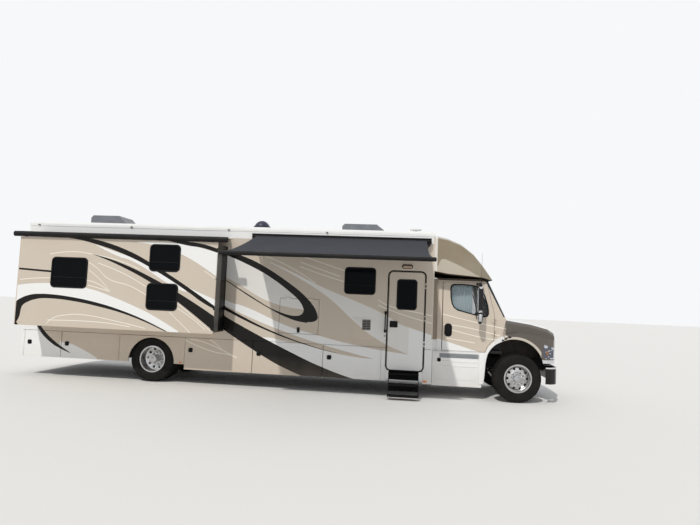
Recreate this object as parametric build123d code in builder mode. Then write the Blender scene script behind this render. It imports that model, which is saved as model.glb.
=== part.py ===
from build123d import *
import math
import os

os.makedirs("parts", exist_ok=True)

# Vehicle axes: +X forward, +Y to the driver's side, +Z up, ground at z = 0, X = 0 at half length.
# save() shifts each piece along Y by centre_shift, so that the file's origin is the middle of the plan box.

# Driving dimensions, in millimetres and degrees
rear_overhang = 3200
wheelbase = 8085
front_overhang = 905
house_half_width = 1280
wall = 50
panel = 40
skin = 25
glass = 12
seat_gap = 0.3
panel_gap = 8
moving_gap = 10

floor_bottom = 1045
floor_thickness = 50
wall_top = 3490
roof_rise = 110
roof_crown = 40
roof_edge_radius = 85
skirt_bottom_front = 330
skirt_bottom_rear = 440

slide_length = 4480
slide_rear_margin = 360
slide_bottom = 1220
slide_top = 3120
slide_reach = 700
slide_flange = 25

door_width = 760
door_bottom = 575
door_top = 2684
door_front_margin = 172

cab_half_width = 1050
cab_floor = 1000
cab_wall = 45
belt_height = 1750
cab_door_width = 1128
cab_door_bottom = 1020
cab_door_top = 2530

tyre_radius = 510
tyre_width = 280
rim_radius = 286
front_track_half = 1060
twin_pitch = 330
wheel_inboard = 60
kingpin_y = 880
steer_rest = 7
spindle_radius = 45
rear_spindle_radius = 50
shaft_gap = 0.3

rail_half_width = 430
rail_top = 880
rail_height = 240
rail_flange = 80
rail_web = 10

awning_reach = 2200
awning_drop = 560
awning_length = 3970
awning_bar_radius = 38

mirror_outer = 1440
arch_radius = 600
fender_half_width = 1200

# Places worked out from them
length = rear_overhang + wheelbase + front_overhang
rear_x = -length / 2
front_x = length / 2
rear_axle_x = rear_x + rear_overhang
front_axle_x = rear_axle_x + wheelbase
wheel_z = tyre_radius
twin_outer_y = house_half_width - wheel_inboard - tyre_width / 2
twin_inner_y = twin_outer_y - twin_pitch
side_y = -house_half_width
house_front_x = front_axle_x - 1820
floor_top = floor_bottom + floor_thickness
roof_top = wall_top + roof_rise
rail_bottom = rail_top - rail_height
cab_rear_x = house_front_x + 135
cowl_x = front_axle_x - 275
cab_door_front = front_axle_x - 455
cab_door_rear = cab_door_front - cab_door_width
arch_x = front_axle_x - 40
arch_z = wheel_z + 230
slide_rear_x = rear_x + slide_rear_margin
slide_front_x = slide_rear_x + slide_length
slide_outer_y = side_y - slide_reach
entry_front_x = house_front_x - door_front_margin
entry_rear_x = entry_front_x - door_width
bar_y = side_y - awning_reach
awning_root_y = side_y - 120
awning_root_z = wall_top - 120
bar_z = awning_root_z - awning_drop
awning_x = house_front_x - 60 - awning_length / 2
plan_low_y = bar_y - awning_bar_radius
plan_high_y = mirror_outer
centre_shift = -(plan_low_y + plan_high_y) / 2


def block(x, y, z, mode=Mode.ADD):
    """Box given by its (low, high) limits along each axis, inside the open part."""
    with Locations(((x[0] + x[1]) / 2, (y[0] + y[1]) / 2, (z[0] + z[1]) / 2)):
        Box(x[1] - x[0], y[1] - y[0], z[1] - z[0], mode=mode)


def rod(centre, axis, radius, length, mode=Mode.ADD):
    """Cylinder centred on a point, along the X, Y or Z axis."""
    turn = {"X": (0, 90, 0), "Y": (90, 0, 0), "Z": (0, 0, 0)}[axis]
    with Locations(Location(centre, turn)):
        Cylinder(radius, length, mode=mode)


def side_outline(points, y, depth, mode=Mode.ADD):
    """Prism of an XZ outline, from the plane at y by depth towards -Y."""
    with BuildSketch(Plane.XZ.offset(-y)) as outline:
        with BuildLine():
            Polyline(*points, close=True)
        make_face()
    extrude(outline.sketch, amount=depth, mode=mode)


def side_window(x, z, corner, y, depth, mode=Mode.ADD):
    """Rounded rectangle in an XZ plane, from y by depth towards -Y."""
    middle = Location(((x[0] + x[1]) / 2, (z[0] + z[1]) / 2))
    with BuildSketch(Plane.XZ.offset(-y)) as outline:
        with Locations(middle):
            RectangleRounded(x[1] - x[0], z[1] - z[0], corner)
    extrude(outline.sketch, amount=depth, mode=mode)


def beam(start, end, width, height):
    """Square-section bar from point to point, inside the open part."""
    line = Vector(*end) - Vector(*start)
    with BuildSketch(Plane(origin=start, x_dir=line.cross(Vector(0, 0, 1)), z_dir=line)) as section:
        Rectangle(width, height)
    extrude(section.sketch, amount=line.length)


def save(piece, label):
    placed = piece.part.moved(Location((0, centre_shift, 0)))
    placed.label = label
    export_step(placed, f"parts/{label}.step")


def save_mirrored(piece, label):
    with BuildPart() as other:
        mirror(piece.part, about=Plane.XZ)
    save(other, label)


# Chassis: two channel rails, crossmembers, body outriggers, spring hangers and hitch
rail_inner_y = rail_half_width - rail_web
rail_rear_x = rear_x + 150
rail_front_x = front_x - 150
crossmembers = (-5700, -4600, -1700, -400, 900, 2200, 3500)
outriggers = (-5900, -4800, -3850, -1950, -900, 300, 1500, 2350, 3250)
spring_half = 640
spring_thickness = 32
hinge_pin_x = front_x - 70
hinge_pin_z = 815
hinge_pin_radius = 14
receiver_z = 400
receiver_outer = 64
receiver_inner = 51
hitch_pin_radius = 8

with BuildPart() as frame_rails:
    with BuildSketch(Plane.YZ.offset(rail_rear_x)):
        with Locations((rail_half_width - rail_flange / 2, rail_top - rail_height / 2)):
            Rectangle(rail_flange, rail_height)
        with Locations((rail_half_width - rail_flange / 2 - rail_web, rail_top - rail_height / 2)):
            Rectangle(rail_flange, rail_height - 2 * rail_web, mode=Mode.SUBTRACT)
    extrude(amount=rail_front_x - rail_rear_x)
    mirror(about=Plane.XZ)
    for x in crossmembers:
        block((x - 40, x + 40), (-rail_inner_y, rail_inner_y), (rail_bottom + 50, rail_top - 20))
        block((x - 41, x + 41), (-120, 120), (rail_bottom, rail_top - 60), Mode.SUBTRACT)
    for x in outriggers:
        block((x - 30, x + 30), (-495, 495), (rail_top, floor_bottom - seat_gap))
    block((rail_front_x - 60, rail_front_x), (-rail_inner_y, rail_inner_y), (rail_bottom + 20, rail_bottom + 120))
    for axle_x in (rear_axle_x, front_axle_x):
        for end in (-1, 1):
            x = axle_x + end * (spring_half - 20)
            for side in (-1, 1):
                y = side * rail_half_width
                block((x - 20, x + 20), (y - 40, y + 40), (rail_bottom - 5, rail_bottom + 30))
    for side in (-1, 1):
        y = side * 340
        block((rail_front_x - 200, hinge_pin_x + 20), (y - 20, y + 20), (rail_bottom + 30, rail_bottom + 130))
        block((hinge_pin_x - 20, hinge_pin_x + 20), (y - 20, y + 20), (rail_bottom + 30, hinge_pin_z))
        rod((hinge_pin_x, y, hinge_pin_z), "Y", hinge_pin_radius, 120)
    block((rear_x + 200, rear_x + 260), (-rail_inner_y, rail_inner_y), (rail_bottom + 10, rail_bottom + 90))
save(frame_rails, "frame_rails")

# Hitch: square receiver tube on two hanger plates, with its cross pin hole
with BuildPart() as hitch_receiver:
    half = receiver_outer / 2
    bore = receiver_inner / 2
    block((rear_x + 20, rear_x + 430), (-half, half), (receiver_z - half, receiver_z + half))
    block((rear_x + 10, rear_x + 400), (-bore, bore), (receiver_z - bore, receiver_z + bore), Mode.SUBTRACT)
    rod((rear_x + 80, 0, receiver_z), "Y", hitch_pin_radius, 100, Mode.SUBTRACT)
    for side in (-1, 1):
        plate_y = sorted((side * half, side * (half + 12)))
        block((rear_x + 190, rear_x + 420), plate_y, (receiver_z - 30, rail_bottom + 10 - seat_gap))
save(hitch_receiver, "hitch_receiver")

# Axles: front I-beam with an eye at each kingpin, rear tube with differential and spindles
eye_low = 430
eye_high = 560
kingpin_radius = 22
spring_seat_front = 500
rear_tube_radius = 75
spring_seat_rear = wheel_z + rear_tube_radius + 8
with BuildPart() as axles:
    block((front_axle_x - 45, front_axle_x + 45), (-kingpin_y, kingpin_y), (eye_low + 10, eye_low + 28))
    block((front_axle_x - 45, front_axle_x + 45), (-kingpin_y, kingpin_y), (spring_seat_front - 18, spring_seat_front))
    block((front_axle_x - 12, front_axle_x + 12), (-kingpin_y, kingpin_y), (eye_low + 20, spring_seat_front - 10))
    for side in (-1, 1):
        y = side * kingpin_y
        rod((front_axle_x, y, (eye_low + eye_high) / 2), "Z", 55, eye_high - eye_low)
        rod((front_axle_x, y, (eye_low + eye_high) / 2), "Z", kingpin_radius, eye_high - eye_low + 90)

    rod((rear_axle_x, 0, wheel_z), "Y", rear_tube_radius, 1180)
    rod((rear_axle_x, 0, wheel_z), "Y", rear_spindle_radius, 2 * (twin_outer_y + 40))
    with Locations((rear_axle_x, 0, wheel_z)):
        Sphere(205)
    rod((rear_axle_x + 170, 0, wheel_z + 20), "X", 80, 240)
    for side in (-1, 1):
        y = side * rail_half_width
        block((rear_axle_x - 60, rear_axle_x + 60), (y - 45, y + 45), (wheel_z + 40, spring_seat_rear))
save(axles, "axles")

# Leaf spring packs, an arc from hanger to hanger
with BuildPart() as leaf_springs:
    for axle_x, seat_z in ((front_axle_x, spring_seat_front), (rear_axle_x, spring_seat_rear)):
        low = seat_z + seat_gap
        end_low = rail_bottom - 5 - seat_gap - spring_thickness
        with BuildSketch(Plane.XZ.offset(-rail_half_width - 35)):
            with BuildLine():
                lower = ThreePointArc((axle_x - spring_half, end_low), (axle_x, low), (axle_x + spring_half, end_low))
                upper = ThreePointArc(
                    (axle_x - spring_half, end_low + spring_thickness),
                    (axle_x, low + spring_thickness),
                    (axle_x + spring_half, end_low + spring_thickness),
                )
                Line(lower @ 0, upper @ 0)
                Line(lower @ 1, upper @ 1)
            make_face()
        extrude(amount=70)
    mirror(about=Plane.XZ)
save(leaf_springs, "leaf_springs")

# Powertrain: engine as one plain block, radiator, gearbox, propeller shaft and exhaust
engine_rear_x = cowl_x + 75
engine_front_x = front_axle_x + 540
gearbox_rear_x = cowl_x - 900
prop_front = (gearbox_rear_x, 0, 760)
prop_rear = (rear_axle_x + 292, 0, wheel_z + 22)
exhaust_y = -250
prop_radius = 48
with BuildPart() as powertrain:
    block((engine_rear_x, engine_front_x), (-330, 330), (rail_bottom + 60, 1440))
    for side in (-1, 1):
        y = side * 372
        block((front_axle_x - 60, front_axle_x + 60), (y - 45, y + 47.7), (rail_bottom + 60, rail_bottom + 130))
    block((engine_front_x - 10, engine_front_x + 130), (-250, 250), (rail_bottom + 200, 1300))
    block((engine_front_x + 120, engine_front_x + 190), (-345, 345), (rail_bottom + 135, 1400))
    with BuildSketch(Plane.YZ.offset(engine_rear_x)) as bell:
        with Locations((0, 775)):
            Circle(205)
    with BuildSketch(Plane.YZ.offset(gearbox_rear_x)) as tail:
        with Locations((0, 760)):
            Circle(110)
    loft()
    shaft = Vector(*prop_rear) - Vector(*prop_front)
    with BuildSketch(Plane(origin=prop_front, z_dir=shaft).offset(5 * seat_gap)):
        Circle(prop_radius)
    extrude(amount=shaft.length - 5 * seat_gap)
    rod((2900, exhaust_y, 560), "X", 105, 900)
    rod((2775, exhaust_y, 560), "X", 45, 3700)
    for x in (1300, 2900, 4300):
        block((x - 15, x + 15), (exhaust_y - 15, exhaust_y + 15), (560, rail_bottom + 150))
        block((x - 15, x + 15), (seat_gap - rail_inner_y, exhaust_y + 15), (rail_bottom + 120, rail_bottom + 150))
save(powertrain, "powertrain")

# Tanks slung between the rails
tank_table = (
    # rear x, front x, bottom, top
    (-5500, -4700, 470, 860),
    (-4450, -3750, 450, 860),
)
with BuildPart() as underfloor_tanks:
    for low_x, high_x, low_z, high_z in tank_table:
        block((low_x, high_x), (-rail_half_width + 90, rail_half_width - 90), (low_z, high_z))
        for x in (low_x + 60, high_x - 60):
            block((x - 25, x + 25), (seat_gap - rail_inner_y, rail_inner_y - seat_gap), (high_z - 200, high_z - 40))
save(underfloor_tanks, "underfloor_tanks")


# Cab body: plan sections stacked from floor to roof crown
cab_sections = (
    # height, half width, front x at the side, bow of the front
    (cab_floor, cab_half_width, cowl_x, 60),
    (1420, cab_half_width, cowl_x, 60),
    (belt_height, cab_half_width - 5, cowl_x + 68, 90),
    (2560, cab_half_width - 105, cowl_x - 315, 70),
    (2615, cab_half_width - 240, cowl_x - 460, 50),
)


def cab_volume(inset, floor_up=0, roof_down=0):
    """Solid of the cab's outer form, each face moved inwards by inset."""
    with BuildPart() as volume:
        last = len(cab_sections) - 1
        for index in range(last):
            for height, half, front, bow in cab_sections[index:index + 2]:
                if height == cab_sections[0][0]:
                    level = height + floor_up
                elif height == cab_sections[last][0]:
                    level = height - roof_down
                else:
                    level = height
                with BuildSketch(Plane.XY.offset(level)):
                    with BuildLine():
                        left = (front - inset, half - inset)
                        right = (front - inset, inset - half)
                        ThreePointArc(right, (front + bow - inset, 0), left)
                        Polyline(left, (cab_rear_x + inset, half - inset), (cab_rear_x + inset, inset - half), right)
                    make_face()
            loft(ruled=True)
    return volume.part


cab_door_outline = (
    (cab_door_rear, cab_door_bottom),
    (arch_x - 600, cab_door_bottom),
    (arch_x - 555, 1130),
    (arch_x - 490, 1230),
    (cab_door_front, 1290),
    (cab_door_front, 1850),
    (cab_door_front - 155, cab_door_top),
    (cab_door_rear, cab_door_top),
)
cab_window_outline = (
    (cab_door_rear + 169, 2410),
    (cab_door_rear + 190, 2465),
    (cab_door_rear + 245, 2492),
    (cab_door_front - 420, 2474),
    (cab_door_front - 244, 2430),
    (cab_door_front - 128, 2020),
    (cab_door_front - 140, 1800),
    (cab_door_front - 254, 1775),
    (cab_door_rear + 312, 1900),
    (cab_door_rear + 191, 2090),
)


def inset_outline(points, amount, y, depth, mode):
    """Prism of an XZ outline moved inwards by amount."""
    with BuildSketch(Plane.XZ.offset(-y)) as outline:
        with BuildLine():
            Polyline(*points, close=True)
        make_face()
        if amount:
            offset(amount=-amount, kind=Kind.INTERSECTION, mode=Mode.REPLACE)
    extrude(outline.sketch, amount=depth, mode=mode)


def windshield_prism(amount, mode):
    """Prism along X through the windshield opening, inset by amount."""
    with BuildSketch(Plane.YZ.offset(cowl_x - 700)) as outline:
        with BuildLine():
            Polyline((-890, 1830), (890, 1830), (815, 2500), (-815, 2500), close=True)
        make_face()
        if amount:
            offset(amount=-amount, kind=Kind.INTERSECTION, mode=Mode.REPLACE)
    extrude(outline.sketch, amount=900, mode=mode)


cab_hinge_levels = (1440, 1700)
cab_hinge_radius = 12
cab_hinge_y = -cab_half_width - 14
housing_radius = arch_radius + 15
housing_inner_y = 640


def wheel_housings(radius, inner, mode):
    """Drums that hold the front wheels' room, one on each side of the cab."""
    for side in (-1, 1):
        middle = side * (inner + 300)
        rod((arch_x, middle, arch_z), "Y", radius, 600, mode)


with BuildPart() as cab_room:
    add(cab_volume(cab_wall, floor_up=60, roof_down=30))
    wheel_housings(housing_radius + cab_wall, housing_inner_y - cab_wall, Mode.SUBTRACT)

with BuildPart() as cab_shell:
    add(cab_volume(0))
    add(cab_room.part, mode=Mode.SUBTRACT)
    wheel_housings(housing_radius, housing_inner_y, Mode.SUBTRACT)
    inset_outline(cab_door_outline, 0, -750, 400, Mode.SUBTRACT)
    inset_outline(cab_door_outline, 0, 1150, 400, Mode.SUBTRACT)
    windshield_prism(0, Mode.SUBTRACT)
    slab_y = cab_half_width - cab_wall - panel_gap
    block((cab_rear_x + 5, cowl_x - 5), (-slab_y, slab_y), (cab_floor, cab_floor + 60))
    block((cab_rear_x - 10, cab_rear_x + cab_wall + 10), (-700, 700), (cab_floor + 60, 2400), Mode.SUBTRACT)
    for side in (-1, 1):
        leaf_y = sorted((-side * cab_hinge_y, -side * (cab_hinge_y + 24)))
        for z in cab_hinge_levels:
            for end in (-1, 1):
                middle = z + end * (30 + seat_gap + 15)
                rod((cab_door_front, -side * cab_hinge_y, middle), "Z", cab_hinge_radius, 30)
                block((cab_door_front, cab_door_front + 50), leaf_y, (middle - 15, middle + 15))
save(cab_shell, "cab_shell")

with BuildPart() as windshield:
    add(cab_volume(12))
    add(cab_volume(12 + glass), mode=Mode.SUBTRACT)
    windshield_prism(seat_gap, Mode.INTERSECT)
save(windshield, "windshield")

# Cab interior: dashboard with the steering column, driver on the left, and the seats
steering_hub = (cowl_x - 460, 450, 1690)
column_foot = (cowl_x - 150, 450, 1470)
with BuildPart() as cab_interior:
    dash_outline = (
        (cowl_x - 330, 1480),
        (cowl_x - 300, 1660),
        (cowl_x - 120, 1730),
        (cowl_x - 55, 1730),
        (cowl_x - 55, 1400),
        (cowl_x - 180, 1380),
    )
    side_outline(dash_outline, 930, 1860)
    column = Vector(*column_foot) - Vector(*steering_hub)
    with BuildSketch(Plane(origin=steering_hub, z_dir=column).offset(28 + seat_gap)):
        Circle(32)
    extrude(amount=column.length - 30)
    kick_y = housing_inner_y - cab_wall - panel_gap
    block((cowl_x - 120, cowl_x - 60), (-kick_y, kick_y), (cab_floor + 60, 1400))

    # Two cab seats on boxes
    seat_rear_x = cab_rear_x + 330
    for side in (-1, 1):
        y = side * 520
        block((seat_rear_x + 60, seat_rear_x + 460), (y - 220, y + 220), (cab_floor + 60, 1290))
        block((seat_rear_x, seat_rear_x + 520), (y - 250, y + 250), (1290, 1440))
        side_outline(
            ((seat_rear_x, 1400), (seat_rear_x + 120, 1400), (seat_rear_x + 20, 2130), (seat_rear_x - 80, 2130)),
            y + 240,
            480,
        )
save(cab_interior, "cab_interior")

# Steering wheel: rim, hub and three spokes, square to the column
with BuildPart() as steering_wheel:
    wheel_plane = Plane(origin=steering_hub, z_dir=column)
    with BuildSketch(wheel_plane.offset(-18)):
        Circle(60)
    extrude(amount=46)
    with BuildSketch(wheel_plane.offset(-14)):
        Circle(225)
        Circle(197, mode=Mode.SUBTRACT)
    extrude(amount=28)
    with BuildSketch(wheel_plane.offset(-8)):
        with PolarLocations(0, 3):
            with Locations((125, 0)):
                Rectangle(160, 34)
    extrude(amount=16)
save(steering_wheel, "steering_wheel")

# Front bumper: bowed channel with wrapped ends
bumper_low = 430
bumper_high = 785
bumper_end_x = front_axle_x + 605
with BuildPart() as front_bumper:
    for inset, mode in ((0, Mode.ADD), (skin, Mode.SUBTRACT)):
        with BuildSketch(Plane.XY.offset(bumper_low)):
            with BuildLine():
                half = fender_half_width - inset
                nose = ThreePointArc((front_x - 35 - inset, -1000), (front_x - inset, 0), (front_x - 35 - inset, 1000))
                for side, end in ((1, nose @ 1), (-1, nose @ 0)):
                    Polyline(
                        end,
                        (front_x - 95 - inset, side * (half - 70)),
                        (front_x - 190 - inset, side * half),
                        (bumper_end_x - inset, side * half),
                    )
                Line((bumper_end_x - inset, -half), (bumper_end_x - inset, half))
            make_face()
        extrude(amount=bumper_high - bumper_low, mode=mode)
    for side in (-1, 1):
        y = side * 400
        block((rail_front_x + seat_gap, front_x - skin), (y - 30, y + 30), (rail_bottom + 30, rail_top - 120))
save(front_bumper, "front_bumper")

# Hood with fenders: tilts forward about a pin over the bumper
hood_bottom = 860
hood_gap = 8
plan_front = front_x - 22
nose_bow = 32


def hood_volume(inset, open_by=0):
    """Outer form of hood and fenders, moved inwards by inset and left open below and behind."""
    with BuildPart() as volume:
        sections = (
            # x, half width, shoulder height, crown height
            (cowl_x + hood_gap - open_by, 985, 1742, 1795),
            (cowl_x + 640, 930, 1655, 1715),
            (plan_front - 170, 905, 1570, 1632),
            (plan_front - 40, 885, 1490, 1550),
            (plan_front + 5, 865, 1405, 1465),
        )
        for index in range(len(sections) - 1):
            for x, half, shoulder, crown in sections[index:index + 2]:
                with BuildSketch(Plane.YZ.offset(x - inset if x > plan_front - 100 else x)):
                    with BuildLine():
                        width = half - inset
                        low = hood_bottom - open_by
                        top = ThreePointArc(
                            (-width + 60, shoulder - inset), (0, crown - inset), (width - 60, shoulder - inset)
                        )
                        Polyline(top @ 1, (width, shoulder - 60 - inset), (width, low), (-width, low))
                        Polyline((-width, low), (-width, shoulder - 60 - inset), top @ 0)
                    make_face()
            loft(ruled=True)
        fender = (
            (arch_x - 600 + inset, cab_floor + 5 - open_by),
            (arch_x - 540 + inset, 1150 - inset),
            (arch_x - 360 + inset, 1330 - inset),
            (arch_x - 150 + inset, 1430 - inset),
            (arch_x + 100, 1480 - inset),
            (arch_x + 480, 1440 - inset),
            (plan_front - inset, 1330 - inset),
            (plan_front - inset, hood_bottom - open_by),
            (arch_x, hood_bottom - open_by),
        )
        half = fender_half_width - inset
        side_outline(fender, half, 2 * half)
        with BuildSketch(Plane.XY.offset(700)):
            with BuildLine():
                flush = cab_half_width + 22 - inset
                corner = plan_front - nose_bow - inset
                nose = ThreePointArc((corner, -940), (plan_front - inset, 0), (corner, 940))
                for side, end in ((1, nose @ 1), (-1, nose @ 0)):
                    Polyline(
                        end,
                        (plan_front - 95 - inset, side * (fender_half_width - 110 - inset)),
                        (plan_front - 250 - inset, side * (fender_half_width - 18 - inset)),
                        (plan_front - 420, side * half),
                        (cowl_x + 20, side * half),
                        (cab_door_front, side * flush),
                        (arch_x - 640, side * flush),
                    )
                Line((arch_x - 640, -flush), (arch_x - 640, flush))
            make_face()
        extrude(amount=1300, mode=Mode.INTERSECT)
    return volume.part


grille_half = 430
grille_low = 943
grille_high = 1390
lamp_outline = (
    (plan_front - 345, 1085),
    (plan_front - 300, 960),
    (plan_front + 10, 945),
    (plan_front + 10, 1165),
    (plan_front - 310, 1255),
)
with BuildPart() as hood:
    add(hood_volume(0))
    add(hood_volume(skin, open_by=60), mode=Mode.SUBTRACT)
    for y in (-700, 700 + 800):
        with BuildSketch(Plane.XZ.offset(-y)):
            with Locations((arch_x, arch_z)):
                Circle(arch_radius)
        extrude(amount=800, mode=Mode.SUBTRACT)
    add(cab_volume(-hood_gap), mode=Mode.SUBTRACT)
    block((cowl_x - 900, cowl_x + hood_gap), (-1300, 1300), (hood_bottom - 200, 1900), Mode.SUBTRACT)
    block((front_x - 200, front_x), (-grille_half, grille_half), (grille_low, grille_high), Mode.SUBTRACT)
    for y in (-760, 760 + 500):
        side_outline(lamp_outline, y, 500, Mode.SUBTRACT)
    for side in (-1, 1):
        y = side * 400
        block((hinge_pin_x - 25, hinge_pin_x + 5), (y - 15, y + 15), (hinge_pin_z + 5, hood_bottom + 75))
        block((hinge_pin_x - 25, plan_front - 15), (y - 15, y + 15), (hood_bottom + 15, hood_bottom + 75))
        rod((hinge_pin_x, y, hinge_pin_z), "Y", 24, 30)
        rod((hinge_pin_x, y, hinge_pin_z), "Y", hinge_pin_radius + shaft_gap, 60, Mode.SUBTRACT)
save(hood, "hood")

# Headlamps: lenses set in the hood's corners
with BuildPart() as headlamps:
    add(hood_volume(2))
    add(hood_volume(skin), mode=Mode.SUBTRACT)
    with BuildSketch(Plane.XZ.offset(-1260)):
        with BuildLine():
            Polyline(*lamp_outline, close=True)
        make_face()
        offset(amount=-seat_gap, kind=Kind.INTERSECTION, mode=Mode.REPLACE)
    extrude(amount=2520, mode=Mode.INTERSECT)
    block((front_x - 400, front_x), (-760, 760), (800, 1400), Mode.SUBTRACT)
save(headlamps, "headlamps")

# Grille: frame with level bars
grille_bars = 7
with BuildPart() as grille:
    low_x = plan_front - skin
    high_x = plan_front + 8
    block((low_x, high_x), (seat_gap - grille_half, grille_half - seat_gap), (grille_low + seat_gap, grille_high - seat_gap))
    block((low_x - 5, high_x + 5), (30 - grille_half, grille_half - 30), (grille_low + 30, grille_high - 30), Mode.SUBTRACT)
    pitch = (grille_high - grille_low - 60) / (grille_bars + 1)
    for index in range(grille_bars):
        z = grille_low + 30 + pitch * (index + 1)
        block((low_x, high_x - 6), (30 - grille_half, grille_half - 30), (z - 11, z + 11))
    for y in (-215, 0, 215):
        block((low_x, high_x - 14), (y - 8, y + 8), (grille_low + 30, grille_high - 30))
save(grille, "grille")

# Fixed fairings under the cab doors, behind the front wheels
fairing_y = cab_half_width + 70
fairing_rear_x = house_front_x + 45
hatch_seam = 7
hatch_ribs = (700, 800)
louvre_slots = 4
with BuildPart() as cab_steps:
    fairing = (
        (fairing_rear_x, 270),
        (arch_x - 680, 270),
        (arch_x - 655, 700),
        (arch_x - 612, 1000),
        (fairing_rear_x, 1000),
    )
    side_outline(fairing, -fairing_y + 60, 60)
    hatch_x = (fairing_rear_x + 35, arch_x - 740)
    for inset, mode in ((0, Mode.SUBTRACT), (hatch_seam, Mode.ADD)):
        width = (hatch_x[0] + inset, hatch_x[1] - inset)
        block(width, (-fairing_y, -fairing_y + hatch_seam), (405 + inset, 975 - inset), mode)
    for z in hatch_ribs:
        rod(((hatch_x[0] + hatch_x[1]) / 2, -fairing_y, z), "X", 9, hatch_x[1] - hatch_x[0] - 60)
    for index in range(louvre_slots):
        slot_z = 885 + 20 * index
        block((hatch_x[0] + 110, hatch_x[1] - 30), (-fairing_y, -fairing_y + 14), (slot_z, slot_z + 10), Mode.SUBTRACT)
    block((fairing_rear_x, arch_x - 700), (-fairing_y, -rail_half_width - 160), (270, 310))
    block((fairing_rear_x, fairing_rear_x + 40), (-fairing_y, -rail_half_width - 10), (270, cab_floor - seat_gap))
    block((fairing_rear_x, house_front_x + 600), (-650, -rail_half_width - seat_gap), (700, 760))

    # Tail of the fender, from the fairing up to the hood's seam
    with BuildSketch(Plane.XY.offset(cab_floor - 40)) as tail:
        with BuildLine():
            near = -cab_half_width - seat_gap
            outer = -fender_half_width
            flush = near - 22
            Polyline(
                (arch_x - 620, near),
                (cowl_x, near),
                (cowl_x, outer),
                (cowl_x - 20, outer),
                (cab_door_front, flush),
                (arch_x - 620, flush),
                close=True,
            )
        make_face()
    extrude(tail.sketch, amount=500)
    tail_outline = (
        (arch_x - 612, cab_floor - 40),
        (arch_x - 600, cab_floor + 5),
        (arch_x - 540, 1150),
        (arch_x - 360, 1330),
        (cowl_x, 1390),
        (cowl_x, 1700),
        (arch_x - 700, 1700),
        (arch_x - 700, cab_floor - 40),
    )
    side_outline(tail_outline, -cab_half_width, 200, Mode.SUBTRACT)
    with BuildSketch(Plane.XZ.offset(cab_half_width)) as arch:
        with Locations((arch_x, arch_z)):
            Circle(arch_radius)
    extrude(arch.sketch, amount=300, mode=Mode.SUBTRACT)
    mirror(about=Plane.XZ)
save(cab_steps, "cab_steps")


# Cab doors: cut from the cab's own form, with a mirror on arms
mirror_x = cab_door_front - 350
mirror_post_y = mirror_outer - 100
mirror_arm_low = 1770
mirror_arm_high = 2508
mirror_heads = (
    # width, bottom, top
    (200, 1880, 2430),
    (180, 1690, 1850),
)

with BuildPart() as cab_door_right:
    add(cab_volume(0))
    add(cab_volume(cab_wall, floor_up=-60, roof_down=30), mode=Mode.SUBTRACT)
    inset_outline(cab_door_outline, panel_gap, -750, 400, Mode.INTERSECT)
    block((cab_door_rear - 50, cab_door_rear + 2 * panel_gap), (-1200, -700), (cab_floor, 2600), Mode.SUBTRACT)
    inset_outline(cab_window_outline, 0, -750, 400, Mode.SUBTRACT)
    for z in cab_hinge_levels:
        rod((cab_door_front, cab_hinge_y, z), "Z", cab_hinge_radius, 60)
        block((cab_door_front - 60, cab_door_front), (cab_hinge_y, cab_hinge_y + 24), (z - 30, z + 30))
    for z, inner in ((mirror_arm_low, 1020), (mirror_arm_high, 920)):
        block((mirror_x - 18, mirror_x + 18), (-mirror_post_y, -inner), (z - 12, z + 12))
    rod((mirror_x, -mirror_post_y, (mirror_arm_low + mirror_arm_high) / 2), "Z", 16, mirror_arm_high - mirror_arm_low + 24)
    for width, low, high in mirror_heads:
        with BuildSketch(Plane.YZ.offset(mirror_x - 45)):
            with Locations((-mirror_outer + 100, (low + high) / 2)):
                RectangleRounded(width, high - low, 55)
        extrude(amount=90)
save(cab_door_right, "cab_door_right")
save_mirrored(cab_door_right, "cab_door_left")

with BuildPart() as cab_glass_right:
    add(cab_volume(16))
    add(cab_volume(16 + glass, floor_up=60, roof_down=30), mode=Mode.SUBTRACT)
    inset_outline(cab_window_outline, seat_gap, -750, 400, Mode.INTERSECT)
save(cab_glass_right, "cab_glass_right")
save_mirrored(cab_glass_right, "cab_glass_left")

# House floor with wheel boxes and a notch for the entry stepwell
inner_y = house_half_width - wall
wheel_box_half = 610
stepwell_depth = 450
stepwell_low = door_bottom - 30
with BuildPart() as house_floor:
    block((rear_x + wall, house_front_x), (-inner_y, inner_y), (floor_bottom, floor_top))
    for side in (-1, 1):
        outer = sorted((side * 560, side * inner_y))
        inner = sorted((side * 590, side * inner_y))
        block((rear_axle_x - wheel_box_half, rear_axle_x + wheel_box_half), outer, (floor_bottom, floor_top + 110))
        cavity = (rear_axle_x - wheel_box_half + 30, rear_axle_x + wheel_box_half - 30)
        block(cavity, inner, (floor_bottom, floor_top + 80), Mode.SUBTRACT)
    notch = (entry_rear_x - 33, entry_front_x + 33)
    block(notch, (-inner_y, stepwell_depth - inner_y + 5), (floor_bottom, floor_top), Mode.SUBTRACT)
save(house_floor, "house_floor")

# Side walls with their openings, windows and the cab-side front wall
window_table = (
    # rear x, front x, bottom, top, side of the house
    (house_front_x - 1915, house_front_x - 1250, 2176, 2748, -1),
    (house_front_x - 2100, house_front_x - 1300, 2100, 2740, 1),
    (house_front_x - 4900, house_front_x - 3700, 1950, 2740, 1),
    (rear_axle_x - 1700, rear_axle_x - 1100, 2176, 2748, 1),
)
window_corner = 70
tv_door = (house_front_x - 3355, house_front_x - 2465, 1240, 2020)
door_corner = 85
entry_hinge_levels = (1150, 1700, 2400)
barrel_radius = 7
barrel_height = 60
lug_height = 25
barrel_y = -house_half_width - barrel_radius - 1
leaf_half = 3

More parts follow.
